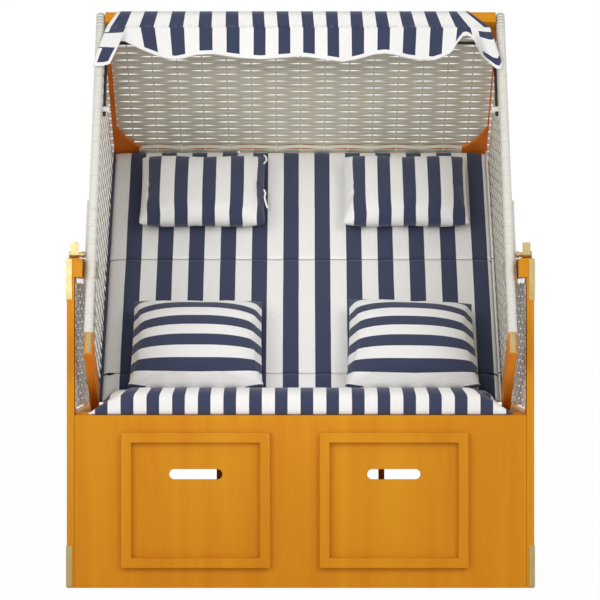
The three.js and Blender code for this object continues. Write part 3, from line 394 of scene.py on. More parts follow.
# %% Weaving tree
GEOMETRY, MATERIAL = "NodeSocketGeometry", "NodeSocketMaterial"
WEAVE_SIZES = {
    "Stake Spacing": 0.067,
    "Strand Width": 0.0170,
    "Strand Thickness": 0.0013,
    "Stake Width": 0.004,
    "Lift": 0.0018,
    "Sway": 0.0035,
}
POINTS_PER_STAKE = 6.0


def weave_tree():
    sizes = [(name, FLOAT, value) for name, value in WEAVE_SIZES.items()]
    taken = [("Geometry", GEOMETRY, None), *sizes, ("Finish", MATERIAL, None)]
    tree, source, result = new_group("weave", taken, [("Geometry", GEOMETRY)], "GeometryNodeTree")
    given = source.outputs

    def then(kind, values, **settings):
        return add_node(tree, kind, values, **settings).outputs[0]

    row = then("GeometryNodeInputNamedAttribute", {"Name": "row"}, data_type="INT")
    is_strand = then("FunctionNodeCompare", {2: row}, data_type="INT", operation="GREATER_EQUAL")
    sorted_lines = {"Geometry": given["Geometry"], "Selection": is_strand}
    parts = add_node(tree, "GeometryNodeSeparateGeometry", sorted_lines)

    def sweep(lines, width):
        circle = then("GeometryNodeCurvePrimitiveCircle", {"Resolution": 8, "Radius": 0.5})
        scale = then("ShaderNodeCombineXYZ", {0: given[width], 1: given["Strand Thickness"], 2: 1})
        shape = then("GeometryNodeTransform", {"Geometry": circle, "Scale": scale})
        upward = then("GeometryNodeSetCurveNormal", {0: lines}, mode="Z_UP")
        return then("GeometryNodeCurveToMesh", {"Curve": upward, "Profile Curve": shape, "Fill Caps": True})

    lines = then("GeometryNodeMeshToCurve", {"Mesh": parts.outputs["Selection"]})
    step = maths(tree, "DIVIDE", given["Stake Spacing"], POINTS_PER_STAKE)
    finer = then("GeometryNodeResampleCurve", {"Curve": lines, "Length": step}, mode="LENGTH")
    across = then("ShaderNodeSeparateXYZ", {0: then("GeometryNodeInputPosition", {})})
    turns = maths(tree, "DIVIDE", across, given["Stake Spacing"])
    swing = maths(tree, "COSINE", maths(tree, "MULTIPLY", turns, math.pi))
    parity = maths(tree, "MULTIPLY_ADD", maths(tree, "FLOORED_MODULO", row, 2.0), -2.0, 1.0)
    swing = maths(tree, "MULTIPLY", swing, parity)
    sways = {i + 1: maths(tree, "MULTIPLY", swing, given[size]) for i, size in enumerate(("Sway", "Lift"))}
    shift = then("ShaderNodeCombineXYZ", sways)
    strands = sweep(then("GeometryNodeSetPosition", {"Geometry": finer, "Offset": shift}), "Strand Width")
    stakes = sweep(then("GeometryNodeMeshToCurve", {"Mesh": parts.outputs["Inverted"]}), "Stake Width")
    joined = tree.nodes.new("GeometryNodeJoinGeometry")
    for part in (stakes, strands):
        tree.links.new(part, joined.inputs[0])
    real = then("GeometryNodeRealizeInstances", {0: joined.outputs[0]})
    smooth = then("GeometryNodeSetShadeSmooth", {0: real})
    coat = then("GeometryNodeSetMaterial", {"Geometry": smooth, "Material": given["Finish"]})
    wire(tree, result, {0: coat})
    return tree


weave = weave_tree()
print("weave", len(weave.nodes), "nodes")


def set_input(modifier, name, value):
    """A modifier's input goes by its socket's identifier, not by its name."""
    for item in modifier.node_group.interface.items_tree:
        if item.name == name and item.in_out == "INPUT":
            modifier[item.identifier] = value


def real_mesh(obj, name, matrix):
    """The object's evaluated mesh as a new plain object, put in its place."""
    deps = bpy.context.evaluated_depsgraph_get()
    mesh = bpy.data.meshes.new_from_object(obj.evaluated_get(deps))
    mesh.name = name
    mesh.transform(matrix)
    source = obj.data
    bpy.data.objects.remove(obj)
    bpy.data.meshes.remove(source)
    return add_object(name, mesh)


# %% [markdown]
# Each wicker skin is woven flat and then laid in its place: rows run across the roof and the back, and
# front to back on the walls. A row starts and ends where it meets the skin's outline.

# %% Wicker skins
ROW_PITCH, ROW_MARGIN, ROW_INSET = 0.0165, 0.006, 0.001
STAKE_PITCH, MOST_STAKES = 0.067, 40


def spans(outline, level):
    """Where a line at this height enters and leaves a closed outline."""
    hits = []
    for (x0, y0), (x1, y1) in zip(outline, outline[1:] + outline[:1]):
        if (y0 - level) * (y1 - level) < 0:
            hits.append(x0 + (x1 - x0) * (level - y0) / (y1 - y0))
    return (min(hits), max(hits)) if len(hits) > 1 else None


def woven_skin(name, outline, place, node, finish, stake_start, **weave_sizes):
    low, high = (f(p[1] for p in outline) for f in (min, max))
    left, right = (f(p[0] for p in outline) for f in (min, max))
    turned = [(y, x) for x, y in outline]
    points, edges, rows = [], [], []

    def line(a, b, row):
        edges.append((len(points), len(points) + 1))
        points.extend((a, b))
        rows.extend((row, row))

    count = int((high - low - 2 * ROW_MARGIN) / ROW_PITCH)
    first = (low + high - (count - 1) * ROW_PITCH) / 2
    for k in range(count):
        level = first + k * ROW_PITCH
        span = spans(outline, level)
        if span and span[1] - span[0] > 2 * ROW_MARGIN:
            line((span[0] + ROW_INSET, level, 0), (span[1] - ROW_INSET, level, 0), k)
    for k in range(-MOST_STAKES, MOST_STAKES):
        across = stake_start + k * STAKE_PITCH
        span = spans(turned, across) if left + ROW_MARGIN < across < right - ROW_MARGIN else None
        if span:
            line((across, span[0] + ROW_INSET, 0), (across, span[1] - ROW_INSET, 0), -1)
    mesh = bpy.data.meshes.new(name + " lines")
    mesh.from_pydata(points, edges, [])
    mesh.attributes.new("row", "INT", "POINT").data.foreach_set("value", rows)
    lines = add_object(name + " lines", mesh)
    mesh.transform(Matrix.Translation((-stake_start, 0, 0)))
    modifier = lines.modifiers.new("weave", "NODES")
    modifier.node_group = weave
    for size, value in {"Stake Spacing": STAKE_PITCH, "Finish": finish, **weave_sizes}.items():
        set_input(modifier, size, value)
    made = real_mesh(lines, name, place @ Matrix.Translation((stake_start, 0, 0)))
    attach(made, carried_by(node) if node else "hood")
    if node:
        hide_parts(node)
    print(name, "rows", count, "triangles", len(made.data.polygons) * 2)


def axes(origin, along, up):
    """The place of a flat drawing: its x runs along, its y runs up, and its z follows from both."""
    x, y = Vector(along).normalized(), Vector(up).normalized()
    return Matrix.Translation(origin) @ Matrix((x, y, x.cross(y))).transposed().to_4x4()


hinge = next(j for j in frame["joints"] if j["name"] == "hood_recline")
pivot = Vector(hinge["pos_m"])
RECLINE = math.radians(31)
BACK_LEAN, BACK_FOOT_AT = math.radians(13.2), (0, 0.395, -0.183)
hood_turn = Matrix.Rotation(-RECLINE, 3, "X")
hood_place = Matrix.Translation(pivot) @ hood_turn.to_4x4()
back_place = hood_place @ Matrix.Translation(BACK_FOOT_AT) @ Matrix.Rotation(-BACK_LEAN, 4, "X")


def flat_outline(node, place, a, b):
    """The hull of a flat node in a place's own axes, and how far its middle lies along the third one."""
    inverse = place.inverted()
    points = [tuple(round(c, 5) for c in inverse @ v.co) for v in nodes[node].data.vertices]
    hull = []
    flat = sorted({(p[a], p[b]) for p in points})
    for way in (flat, flat[::-1]):
        chain = []
        for q in way:
            while len(chain) > 1:
                (x0, y0), (x1, y1) = chain[-2:]
                if (x1 - x0) * (q[1] - y0) - (y1 - y0) * (q[0] - x0) > 1e-9:
                    break
                chain.pop()
            chain.append(q)
        hull += chain[:-1]
    across = [p[3 - a - b] for p in points]
    return hull, (min(across) + max(across)) / 2


def skin_over(name, node, base, a, b, finish, stake_start, **sizes):
    """Weaves a skin in the place of a flat node that lies along two of its base's axes."""
    outline, middle = flat_outline(node, base, a, b)
    unit = Matrix.Identity(3)
    place = base @ axes(unit[3 - a - b] * middle, unit[a], unit[b])
    woven_skin(name, outline, place, node, finish, stake_start, **sizes)


WALL_STAKES = 0.03
HOOD_WALL = {"Strand Width": 0.0166, "Strand Thickness": 0.0009, "Lift": 0.0008, "Sway": 0.0036}
ARM_WALL = {"Strand Width": 0.0166, "Lift": 0.0009, "Sway": 0.0016}
ROOF = {"Strand Width": 0.0167, "Strand Thickness": 0.0009, "Lift": 0.0007, "Sway": 0.0037}
for side in ("left", "right"):
    hood_side, arm_side = f"hood_side_{side}", f"side_skin_{side}"
    skin_over(f"hood_wall_{side}", hood_side, hood_place, 1, 2, strand_deep, WALL_STAKES, **HOOD_WALL)
    skin_over(f"arm_wall_{side}", arm_side, Matrix(), 1, 2, strand_painted_light, WALL_STAKES, **ARM_WALL)
skin_over("roof_skin", "roof_panel", hood_place, 0, 1, strand_across, 0.0, **ROOF)

# The wicker comes down over the rear batten between the corner brackets: one row on its face and two
# under it.
BATTEN_FACE, BATTEN_FOOT, BATTEN_THICK, STRIP_HALF = 0.6071, 0.7297, 0.008, 0.455
STRIP_PROUD, STRIP_UNDER = 0.0022, 0.0165
ON_FACE = (0, BATTEN_FACE - STRIP_PROUD, BATTEN_FOOT + BATTEN_THICK / 2)
UNDERNEATH = (0, BATTEN_FACE + STRIP_UNDER, BATTEN_FOOT - STRIP_PROUD)
for name, depth, origin, up, sizes in (
    ("batten_face_skin", 0.0290, ON_FACE, (0, 0, 1), {"Strand Width": 0.0122}),
    ("batten_foot_skin", 0.0455, UNDERNEATH, (0, 1, 0), {}),
):
    strip = [(x * STRIP_HALF, y * depth / 2) for x, y in SQUARE]
    gentle = {"Lift": 0.0008, "Sway": 0.0012}
    place = hood_place @ axes(origin, (1, 0, 0), up)
    woven_skin(name, strip, place, None, strand_across, 0.0, **gentle, **sizes)
skin_over("back_skin", "back_panel", back_place, 0, 2, strand_across, 0.0)


# %% Small helpers for shapes
def make_piece(name, points, faces, finish, body, nodes_replaced):
    mesh = bpy.data.meshes.new(name)
    mesh.from_pydata([tuple(p) for p in points], [], faces)
    mesh.materials.append(finish)
    made = add_object(name, mesh)
    if body:
        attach(made, body)
    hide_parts(*nodes_replaced)
    return made


def put(matrix, points):
    """Points of a piece, moved from its own axes to the chair's."""
    m = np.array(matrix)
    return np.asarray(points) @ m[:3, :3].T + m[:3, 3]


def loft(rings, around, closed=True, capped=True):
    """Faces over rows of points. A row may close to a ring, and the first and last may have end faces."""
    faces = []
    for k in range(rings - 1):
        for i in range(around if closed else around - 1):
            a, b = k * around + i, k * around + (i + 1) % around
            faces.append((a, b, b + around, a + around))
    if capped:
        faces += [tuple(range(around))[::-1], tuple(range((rings - 1) * around, rings * around))]
    return faces


def lay_map(mesh, name, places):
    """Gives every corner of the faces the place of its point in the piece's own map."""
    corner = np.zeros(len(mesh.loops), int)
    mesh.loops.foreach_get("vertex_index", corner)
    mesh.uv_layers.new(name=name).data.foreach_set("uv", np.asarray(places)[corner].ravel())


def turn_outwards(mesh, weld=0.0):
    work = bmesh.new()
    work.from_mesh(mesh)
    if weld:
        bmesh.ops.remove_doubles(work, verts=work.verts, dist=weld)
    bmesh.ops.recalc_face_normals(work, faces=work.faces)
    work.to_mesh(mesh)
    work.free()

# %% [markdown]
# The front edges of the hood are tubes wrapped with the same strand. The wrapping is a ring of small
# ridges along a lathed profile, close and deep at the top, where the strand turns over the end.

# %% Wrapped tubes
WRAP_PITCH, WRAP_AROUND, END_STEPS = 0.0072, 24, 8
FOOT_SHARE, FIRST_TURN = 0.94, 0.0006
RIDGE, RIDGE_AT_TOP, TOP_REACH = 0.0002, 0.0011, 0.1
# One ridge: how far along its pitch, and what share of its depth the surface lies in there
RIDGE_SHAPE = ((0.0, 1.0), (0.18, 0.25), (0.5, 0.0), (0.82, 0.25))
PIVOT_PLATE_EDGE = 0.002


def wrapped_tube(side):
    node = f"front_edge_{side}"
    inverse = hood_place.inverted()
    local = np.array([inverse @ v.co for v in nodes[node].data.vertices])
    low, high = local.min(0), local.max(0)
    centre = (low + high) / 2
    radius = (high[0] - low[0]) / 2
    profile = [(0.0, low[2]), (radius * FOOT_SHARE, low[2])]
    z = low[2] + FIRST_TURN
    while z < high[2] - radius:
        depth = RIDGE + RIDGE_AT_TOP * max(0.0, 1 - (high[2] - z) / TOP_REACH)
        for share, drop in RIDGE_SHAPE:
            profile.append((radius - depth * drop, z + share * WRAP_PITCH))
        z += WRAP_PITCH
    for i in range(END_STEPS + 1):
        turn = math.pi / 2 * i / END_STEPS
        across = radius * math.cos(turn) if i < END_STEPS else 0.0
        profile.append((across, high[2] - radius + radius * math.sin(turn)))
    points = []
    for r, height in profile:
        for k in range(WRAP_AROUND):
            turn = 2 * math.pi * k / WRAP_AROUND
            points.append((centre[0] + r * math.cos(turn), centre[1] + r * math.sin(turn), height))
    faces = loft(len(profile), WRAP_AROUND, capped=False)
    made = make_piece(f"wrapped_tube_{side}", points, faces, ringed_strand, "hood", [node])
    mesh = made.data
    turn_outwards(mesh, weld=1e-6)
    mesh.shade_smooth()
    down = high[2] - np.array([v.co.z for v in mesh.vertices])
    lay_map(mesh, "wrap", np.stack([down * 0, down], 1))
    mesh.transform(hood_place)


for side in ("left", "right"):
    wrapped_tube(side)
    dress(f"pivot_plate_{side}", wrap_strand, PIVOT_PLATE_EDGE)

# %% [markdown]
# All the fabric is one woven cotton with broad navy and white stripes. One group turns a distance across
# the cloth into the stripe, with a slightly soft edge where the dyed threads meet, and a second one makes
# the threads, which only show close up.

# %% Stripes and threads
NAVY, WHITE = srgb(60, 66, 92), srgb(243, 242, 240)
# The dark seam tint is painted shade: the shade in the groove of each sewn channel, laid on as a thin line.
SEAM_PAINTED_SHADE, SEAM_SHADE_HALF = srgb(40, 42, 50), 0.0021
BACK_SEAMS = (0.0792, 0.504)

stripe, g_in, g_out = new_group(
    "stripes",
    [("Place", FLOAT, 0.0), ("Start", FLOAT, 0.0), ("Period", FLOAT, 0.0646), ("Width", FLOAT, 0.0315)],
    [("Mask", FLOAT)],
)
DYE_EDGE = 0.0007
shifted = maths(stripe, "SUBTRACT", g_in.outputs["Place"], g_in.outputs["Start"])
inside = maths(stripe, "FLOORED_MODULO", shifted, g_in.outputs["Period"])
rising = maths(stripe, "DIVIDE", inside, DYE_EDGE, clamp=True)
left_over = maths(stripe, "SUBTRACT", g_in.outputs["Width"], inside)
falling = maths(stripe, "DIVIDE", left_over, DYE_EDGE, clamp=True)
stripe.links.new(maths(stripe, "MULTIPLY", rising, falling), g_out.inputs["Mask"])

thread_inputs = [("Vector", VECTOR, None), ("Pitch", FLOAT, 0.0014)]
threads, g_in, g_out = new_group("threads", thread_inputs, [("Height", FLOAT)])
apart = add_node(threads, "ShaderNodeSeparateXYZ", {0: g_in.outputs["Vector"]})
turns = maths(threads, "DIVIDE", 2 * math.pi, g_in.outputs["Pitch"])
waves = [maths(threads, "SINE", maths(threads, "MULTIPLY", apart.outputs[i], turns)) for i in range(3)]
crossed = maths(threads, "MULTIPLY", waves[0], maths(threads, "ADD", waves[1], waves[2]))
threads.links.new(maths(threads, "MULTIPLY_ADD", crossed, 0.25, 0.5), g_out.inputs["Height"])


CLOTH_SHADE, WANDER = 0.16, 0.0016


def fabric(name, start, period, width, axis=0, hem=None, seams=()):
    """Striped cloth. The stripe is measured along one axis of the piece's own map, and a hem and dark seam
    lines, painted shade in the sewn grooves, along the map's second axis."""
    made, tree, shader = new_material(name)
    where = add_node(tree, "ShaderNodeTexCoord").outputs
    on_cloth = add_node(tree, "ShaderNodeSeparateXYZ", {0: where["UV"]}).outputs
    uneven = noise(tree, where["Object"], Scale=9.0, Detail=1.0)
    place = maths(tree, "ADD", on_cloth[axis], maths(tree, "MULTIPLY_ADD", uneven, WANDER, -WANDER / 2))
    mask = place_group(tree, stripe, Place=place, Start=start, Period=period, Width=width).outputs[0]
    if hem is not None:
        mask = maths(tree, "MULTIPLY", mask, maths(tree, "GREATER_THAN", on_cloth[1], hem))
    slub = noise(tree, where["Object"], Scale=260.0, Detail=2.0)
    colour = mixed(tree, CLOTH_SHADE, mixed(tree, mask, WHITE, NAVY), slub, blend_type="MULTIPLY")
    # Painted shade along each seam's groove.
    for seam in seams:
        away = maths(tree, "ABSOLUTE", maths(tree, "SUBTRACT", on_cloth[1], seam))
        colour = mixed(tree, maths(tree, "LESS_THAN", away, SEAM_SHADE_HALF), colour, SEAM_PAINTED_SHADE)
    looks = {"Base Color": colour, "Roughness": 0.9, "Sheen Weight": 0.25, "Specular IOR Level": 0.15}
    wire(tree, shader, looks)
    bump(tree, shader, place_group(tree, threads, Vector=where["Object"]).outputs[0], 0.0005, 0.35)
    return made


seat_stripes = fabric("seat fabric", -0.0003, 0.06465, 0.0328)
back_stripes = fabric("back fabric", 0.0385, 0.08572, 0.0428, seams=BACK_SEAMS)
head_left_stripes = fabric("left head pillow fabric", -0.4231, 0.0768, 0.0375)
head_right_stripes = fabric("right head pillow fabric", 0.1423, 0.0692, 0.0360)
low_left_stripes = fabric("left low pillow fabric", 0.0, 1.0, 0.5, axis=1)
low_right_stripes = fabric("right low pillow fabric", 0.0, 1.0, 0.5, axis=1)
awning_stripes = fabric("awning fabric", 0.0, 1.0, 0.484, hem=0.0105)
plain_white = speckled("white tape", WHITE, WHITE, 0.9, 300.0)

# %% [markdown]
# A cushion starts as two sheets of cloth that share their border. Blender's cloth then blows it up a
# little, as its filling does, with a cap on how far each point may go, so that it keeps its place.


# %% Stuffed pieces
def two_sheets(front, back, across, up):
    """Points and faces of a closed form between two grids that share their border."""
    points, faces, index = [], [], {}
    for side, surface in enumerate((front, back)):
        for j in range(up + 1):
            for i in range(across + 1):
                edge = i in (0, across) or j in (0, up)
                if side and edge:
                    index[1, i, j] = index[0, i, j]
                    continue
                index[side, i, j] = len(points)
                points.append(surface(i / across, j / up))
    for side in (0, 1):
        for j in range(up):
            for i in range(across):
                around = ((i, j), (i + 1, j), (i + 1, j + 1), (i, j + 1))
                quad = [index[side, *place] for place in around]
                faces.append(quad if side == 0 else quad[::-1])
    return np.array(points), faces


FILLING_PRESSURE, FILLING_FRAMES = 4.0, 18


def blow_up(obj, voxel, cap):
    """Remeshes a closed piece evenly and lets cloth under pressure round it."""
    remesh = obj.modifiers.new("remesh", "REMESH")
    remesh.mode = "VOXEL"
    remesh.voxel_size = voxel
    deps = bpy.context.evaluated_depsgraph_get()
    mesh = bpy.data.meshes.new_from_object(obj.evaluated_get(deps))
    obj.modifiers.clear()
    old, obj.data = obj.data, mesh
    bpy.data.meshes.remove(old)
    start = np.array([v.co for v in mesh.vertices])
    cloth = obj.modifiers.new("filling", "CLOTH")
    cloth.settings.quality = 4
    cloth.settings.mass = 0.3
    cloth.settings.use_pressure = True
    cloth.settings.uniform_pressure_force = FILLING_PRESSURE
    cloth.settings.effector_weights.gravity = 0
    cloth.point_cache.frame_start, cloth.point_cache.frame_end = 1, FILLING_FRAMES
    for moment in range(1, FILLING_FRAMES + 1):
        bpy.context.scene.frame_set(moment)
    deps = bpy.context.evaluated_depsgraph_get()
    blown = np.array([v.co for v in obj.evaluated_get(deps).data.vertices])
    obj.modifiers.clear()
    bpy.context.scene.frame_set(1)
    move = blown - start
    far = np.linalg.norm(move, axis=1, keepdims=True)
    blown = start + move * np.minimum(1, cap / np.maximum(far, 1e-9))
    mesh.vertices.foreach_set("co", blown.ravel())
    mesh.update()
    mesh.shade_smooth()
    print(obj.name, "vertices", len(mesh.vertices))
    return start


# %% [markdown]
# The pillows are knife-edged: two rectangles sewn round, full in the middle, with sides that draw in and
# corners that stand out as points. A map on each carries the stripes the way they lie on the flat cloth.

# %% Pillows
PILLOW_GRID, CLOTH_STEPS = 40, 80
PILLOW_SAG, PILLOW_FULLNESS = 0.86, 0.6
PILLOW_START, PILLOW_VOXEL, PILLOW_CAP = 0.92, 0.006, 0.006
HEAD = {"width": 0.360, "height": 0.276, "thick": 0.084, "pinch": 0.005, "roundness": 4}
LOW = {"width": 0.362, "height": 0.322, "thick": 0.114, "pinch": 0.003, "roundness": 2.6}
HEAD_FOOT, LOW_SETBACK, LOW_FOOT = 0.586, 0.2434, 0.4938
SIDE_DROP, UNDER_ROLL = 0.045, 0.045
# How far up the cloth each stripe of a low pillow starts and ends, from the foot
BANDS_LEFT = [-0.06, 0.035, 0.150, 0.258, 0.364, 0.469, 0.564, 0.660, 0.758, 0.837, 0.93, 1.02]
BANDS_RIGHT = [-0.06, 0.035, 0.140, 0.250, 0.356, 0.460, 0.556, 0.650, 0.748, 0.830, 0.92, 1.01]


def pillow_height(a, b, size):
    """Half the thickness at a place on the cloth: fullest a little below the middle."""
    lower = 2 * ((b + 1) / 2) ** PILLOW_SAG - 1
    full = (1 - np.abs(a) ** size["roundness"]) * (1 - np.abs(lower) ** size["roundness"])
    return size["thick"] / 2 * np.maximum(full, 0) ** PILLOW_FULLNESS


def pillow_half(a, b, size):
    """How far the sides lie from the middle there, drawn in between the corners."""
    across = (size["width"] / 2 - size["pinch"] * (1 - b * b)) * (1 - size.get("taper", 0) * (b + 1) / 2)
    return across, size["height"] / 2 - size["pinch"] * (1 - a * a)


def pillow_skew(a, b, size):
    """The top edge is a little askew, because the pillow was put down by hand."""
    return -size.get("skew", 0) * a * (b + 1) / 2


def pillow_surface(size, face):
    def at(u, v):
        a, b = math.sin((u - 0.5) * math.pi), math.sin((v - 0.5) * math.pi)
        half_x, half_z = pillow_half(a, b, size)
        z = b * half_z + size["height"] / 2 + pillow_skew(a, b, size)
        return (a * half_x, face * PILLOW_START * pillow_height(a, b, size), z)

    return at


def cloth_share(size, local):
    """How far up the flat cloth each point lies, from 0 to 1, from the length of the surface below it."""
    marks = np.sin((np.linspace(0, 1, CLOTH_STEPS + 1) - 0.5) * math.pi)
    x, z = local[:, 0], local[:, 2] - size["height"] / 2
    a, b = x / (size["width"] / 2), z / (size["height"] / 2)
    for _ in range(6):
        half_x, half_z = pillow_half(a, b, size)
        a, b = np.clip(x / half_x, -1, 1), np.clip((z - pillow_skew(a, b, size)) / half_z, -1, 1)
    table = []
    for column in marks:
        rise = pillow_height(column, marks, size)
        steps = np.hypot(np.diff(marks) * size["height"] / 2, np.diff(rise))
        table.append(np.concatenate([[0], np.cumsum(steps)]) / steps.sum())
    table = np.array(table)
    u, v = (np.interp(place, marks, np.arange(len(marks))) for place in (a, b))
    i, j = (np.minimum(place.astype(int), CLOTH_STEPS - 1) for place in (u, v))
    fu, fv = u - i, v - j
    top = table[i, j + 1] * (1 - fu) + table[i + 1, j + 1] * fu
    low = table[i, j] * (1 - fu) + table[i + 1, j] * fu
    return low * (1 - fv) + top * fv


def pillow(name, node, size, place, finish, body):
    surfaces = [pillow_surface(size, face) for face in (-1, 1)]
    points, faces = two_sheets(*surfaces, PILLOW_GRID, PILLOW_GRID)
    made = make_piece(name, points, faces, finish, body, [node])
    local = blow_up(made, PILLOW_VOXEL, PILLOW_CAP)
    mesh = made.data
    share = cloth_share(size, local)
    across = local[:, 0] / size["width"] + 0.5
    if "bands" in size:
        off = np.abs(2 * across - 1)
        pulled = share + SIDE_DROP * off**3 * share + UNDER_ROLL * (1 - off**2) * (1 - share) ** 3
        share = np.interp(pulled, size["bands"], np.arange(len(size["bands"])) / 2)
    lay_map(mesh, "cloth", np.stack([local[:, 0] + place.translation.x, share], 1))
    mesh.transform(place)
    mesh.materials.clear()
    mesh.materials.append(finish)
    rounder = made.modifiers.new("rounder", "SUBSURF")
    rounder.levels = rounder.render_levels = 1
    return made


TIE_HALF, TIE_THICK, TIE_STEPS, TIE_PROUD = 0.0026, 0.0010, 14, 0.0035
# Each tie is a short ribbon: points across and up from the pillow's lower middle
TIES = {
    "left": [
        [(0.098, 0.262), (0.096, 0.276), (0.099, 0.288), (0.094, 0.292)],
        [(0.166, 0.268), (0.173, 0.262), (0.175, 0.246), (0.170, 0.232), (0.167, 0.222)],
        [(0.168, 0.120), (0.173, 0.108), (0.170, 0.092), (0.174, 0.072), (0.179, 0.058)],
    ],
    "right": [],
}


def ribbon(marks):
    """A thin ribbon laid along these marks, as points and faces of a closed form."""
    marks = np.array(marks)
    along = np.linspace(0, len(marks) - 1, TIE_STEPS)
    x, z = (np.interp(along, np.arange(len(marks)), marks[:, i]) for i in (0, 1))
    run = np.stack([np.gradient(x), np.gradient(z)], 1)
    run /= np.linalg.norm(run, axis=1, keepdims=True)
    points = []
    for k in range(TIE_STEPS):
        dx, dz = -run[k, 1] * TIE_HALF, run[k, 0] * TIE_HALF
        a, b = np.clip((x[k] / (HEAD["width"] / 2), z[k] / (HEAD["height"] / 2) - 1), -1, 1)
        lies_on = -pillow_height(a, b, HEAD) - TIE_PROUD
        for side, deep in ((-1, -TIE_THICK), (1, -TIE_THICK), (1, 0), (-1, 0)):
            points.append((x[k] + side * dx, deep + lies_on, z[k] + side * dz))
    return points, loft(TIE_STEPS, 4)


def add_ties(made, place, ties):
    """Joins the ribbons to a finished pillow, in plain white cloth."""
    made.data.materials.append(plain_white)
    whole = bmesh.new()
    whole.from_mesh(made.data)
    cloth = whole.loops.layers.uv.active
    for marks in ties:
        points, faces = ribbon(marks)
        corners = [whole.verts.new(place @ Vector(p)) for p in points]
        made_faces = [whole.faces.new([corners[i] for i in face]) for face in faces]
        bmesh.ops.recalc_face_normals(whole, faces=made_faces)
        for face in made_faces:
            face.material_index = 1
            for loop in face.loops:
                loop[cloth].uv = (0, 0)
    whole.to_mesh(made.data)
    whole.free()


PAD_GAP = 0.0003
for side, centre, finish in (("left", -0.269, head_left_stripes), ("right", 0.289, head_right_stripes)):
    place = back_place @ Matrix.Translation((centre, -HEAD["thick"] / 2 - PAD_GAP, HEAD_FOOT))
    made = pillow(f"head_cushion_{side}", f"head_pillow_{side}", HEAD, place, finish, "hood")
    add_ties(made, place, TIES[side])
LOW_LEAN = math.radians(44.2)
for side, centre, finish, lie in (
    ("left", -0.272, low_left_stripes, {"taper": 0.02, "skew": 0.002, "bands": BANDS_LEFT}),
    ("right", 0.292, low_right_stripes, {"taper": 0.07, "skew": 0.009, "bands": BANDS_RIGHT}),
):
    place = Matrix.Translation((centre, LOW_SETBACK, LOW_FOOT)) @ Matrix.Rotation(-LOW_LEAN, 4, "X")
    pillow(f"low_cushion_{side}", f"low_pillow_{side}", {**LOW, **lie}, place, finish, "low_pillows")

# %% [markdown]
# The back cushion is one long pad in a striped cover. Two sewn channels run across it, so it can fold
# with the back, and its face swells a little between them.

# %% Back cushion
BACK = {"half": 0.5222, "foot": 0.021, "top": 0.937, "thick": 0.045, "seams": BACK_SEAMS}
CHANNEL_DEPTH, CHANNEL_HALF, SWELL = 0.010, 0.0026, 0.004
EDGE_POWER, REAR_SLACK = 44, 0.020
# Past the seat cushion's sides the foot of the cover hangs a little lower, as a soft corner
CORNER_FROM, CORNER_OVER, CORNER_DROP, CORNER_REACH = 0.497, 0.012, 0.030, 0.08


def back_fullness(u, v):
    """1 over most of the pad, falling to 0 at its border."""
    across, up = (math.sqrt(max(0.0, 1 - abs(2 * share - 1) ** EDGE_POWER)) for share in (u, v))
    return across * up

def back_face(u, v):
    up = BACK["foot"] + v * (BACK["top"] - BACK["foot"])
    full = back_fullness(u, v)
    past = min(1.0, max(0.0, (abs(2 * u - 1) * BACK["half"] - CORNER_FROM) / CORNER_OVER))
    corner_drop = CORNER_DROP * past * past * (3 - 2 * past) * max(0.0, 1 - v / CORNER_REACH)
    marks = (BACK["foot"], *BACK["seams"], BACK["top"])
    swell = 0.0
    for low, high in zip(marks, marks[1:]):
        if low <= up <= high:
            swell = math.sin(math.pi * (up - low) / (high - low)) ** 0.5
    groove = sum(math.exp(-(((up - seam) / CHANNEL_HALF) ** 2)) for seam in BACK["seams"])
    depth = BACK["thick"] / 2 * (1 - full) + SWELL * (1 - swell) * full + CHANNEL_DEPTH * groove * full
    return ((2 * u - 1) * BACK["half"], depth + PAD_GAP, up - corner_drop)


def back_rear(u, v):
    x, _, up = back_face(u, v)
    depth = BACK["thick"] / 2 * (1 + back_fullness(u, v)) - PAD_GAP
    slope = max(0.0, up - BACK["foot"]) / math.tan(RECLINE + BACK_LEAN) + REAR_SLACK
    return (x, min(depth, slope), up)


BACK_ROWS, BACK_COLUMNS = 40, 60
BESIDE_SEAM = (0, 0.0015, 0.0035, 0.007, 0.012)
BESIDE_FOOT, BESIDE_SIDE = (0.002, 0.006, 0.012), (0.002, 0.005, 0.009)


def from_both_ends(shares):
    return [s for share in shares for s in (share, 1 - share)]


def even_rows(seams, low, high, count):
    """Heights for the rows of a grid, closer together at the seams and at both ends."""
    rows = [*np.linspace(0, 1, count), *from_both_ends(BESIDE_FOOT)]
    for mark in seams:
        share = (mark - low) / (high - low)
        rows += [share + side * away / (high - low) for away in BESIDE_SEAM for side in (-1, 1)]
    return sorted(set(round(r, 5) for r in rows))


rows = even_rows(BACK["seams"], BACK["foot"], BACK["top"], BACK_ROWS)
even = [round(c, 5) for c in np.linspace(0, 1, BACK_COLUMNS)]
columns = sorted({*even, *from_both_ends(BESIDE_SIDE)})


def on_grid(surface, columns, rows):
    return lambda u, v: surface(columns[round(u * (len(columns) - 1))], rows[round(v * (len(rows) - 1))])


sheets = [on_grid(surface, columns, rows) for surface in (back_face, back_rear)]
points, faces = two_sheets(*sheets, len(columns) - 1, len(rows) - 1)

# A piping runs down each side, a little past the foot, where it lies beside the seat cushion.
PIPING = {"radius": 0.0028, "out": 0.0012, "deep": 0.006, "foot": -0.022, "around": 10, "along": 40}
PIPING_END = 0.004


def piping(sign):
    ring = np.linspace(0, 2 * math.pi, PIPING["around"], endpoint=False)
    radius, cord = PIPING["radius"], []
    for up in np.linspace(PIPING["foot"], BACK["top"] - PIPING_END, PIPING["along"]):
        for turn in ring:
            x = sign * (BACK["half"] + PIPING["out"]) + radius * math.cos(turn)
            cord.append((x, PIPING["deep"] + radius * math.sin(turn), up))
    return np.array(cord)


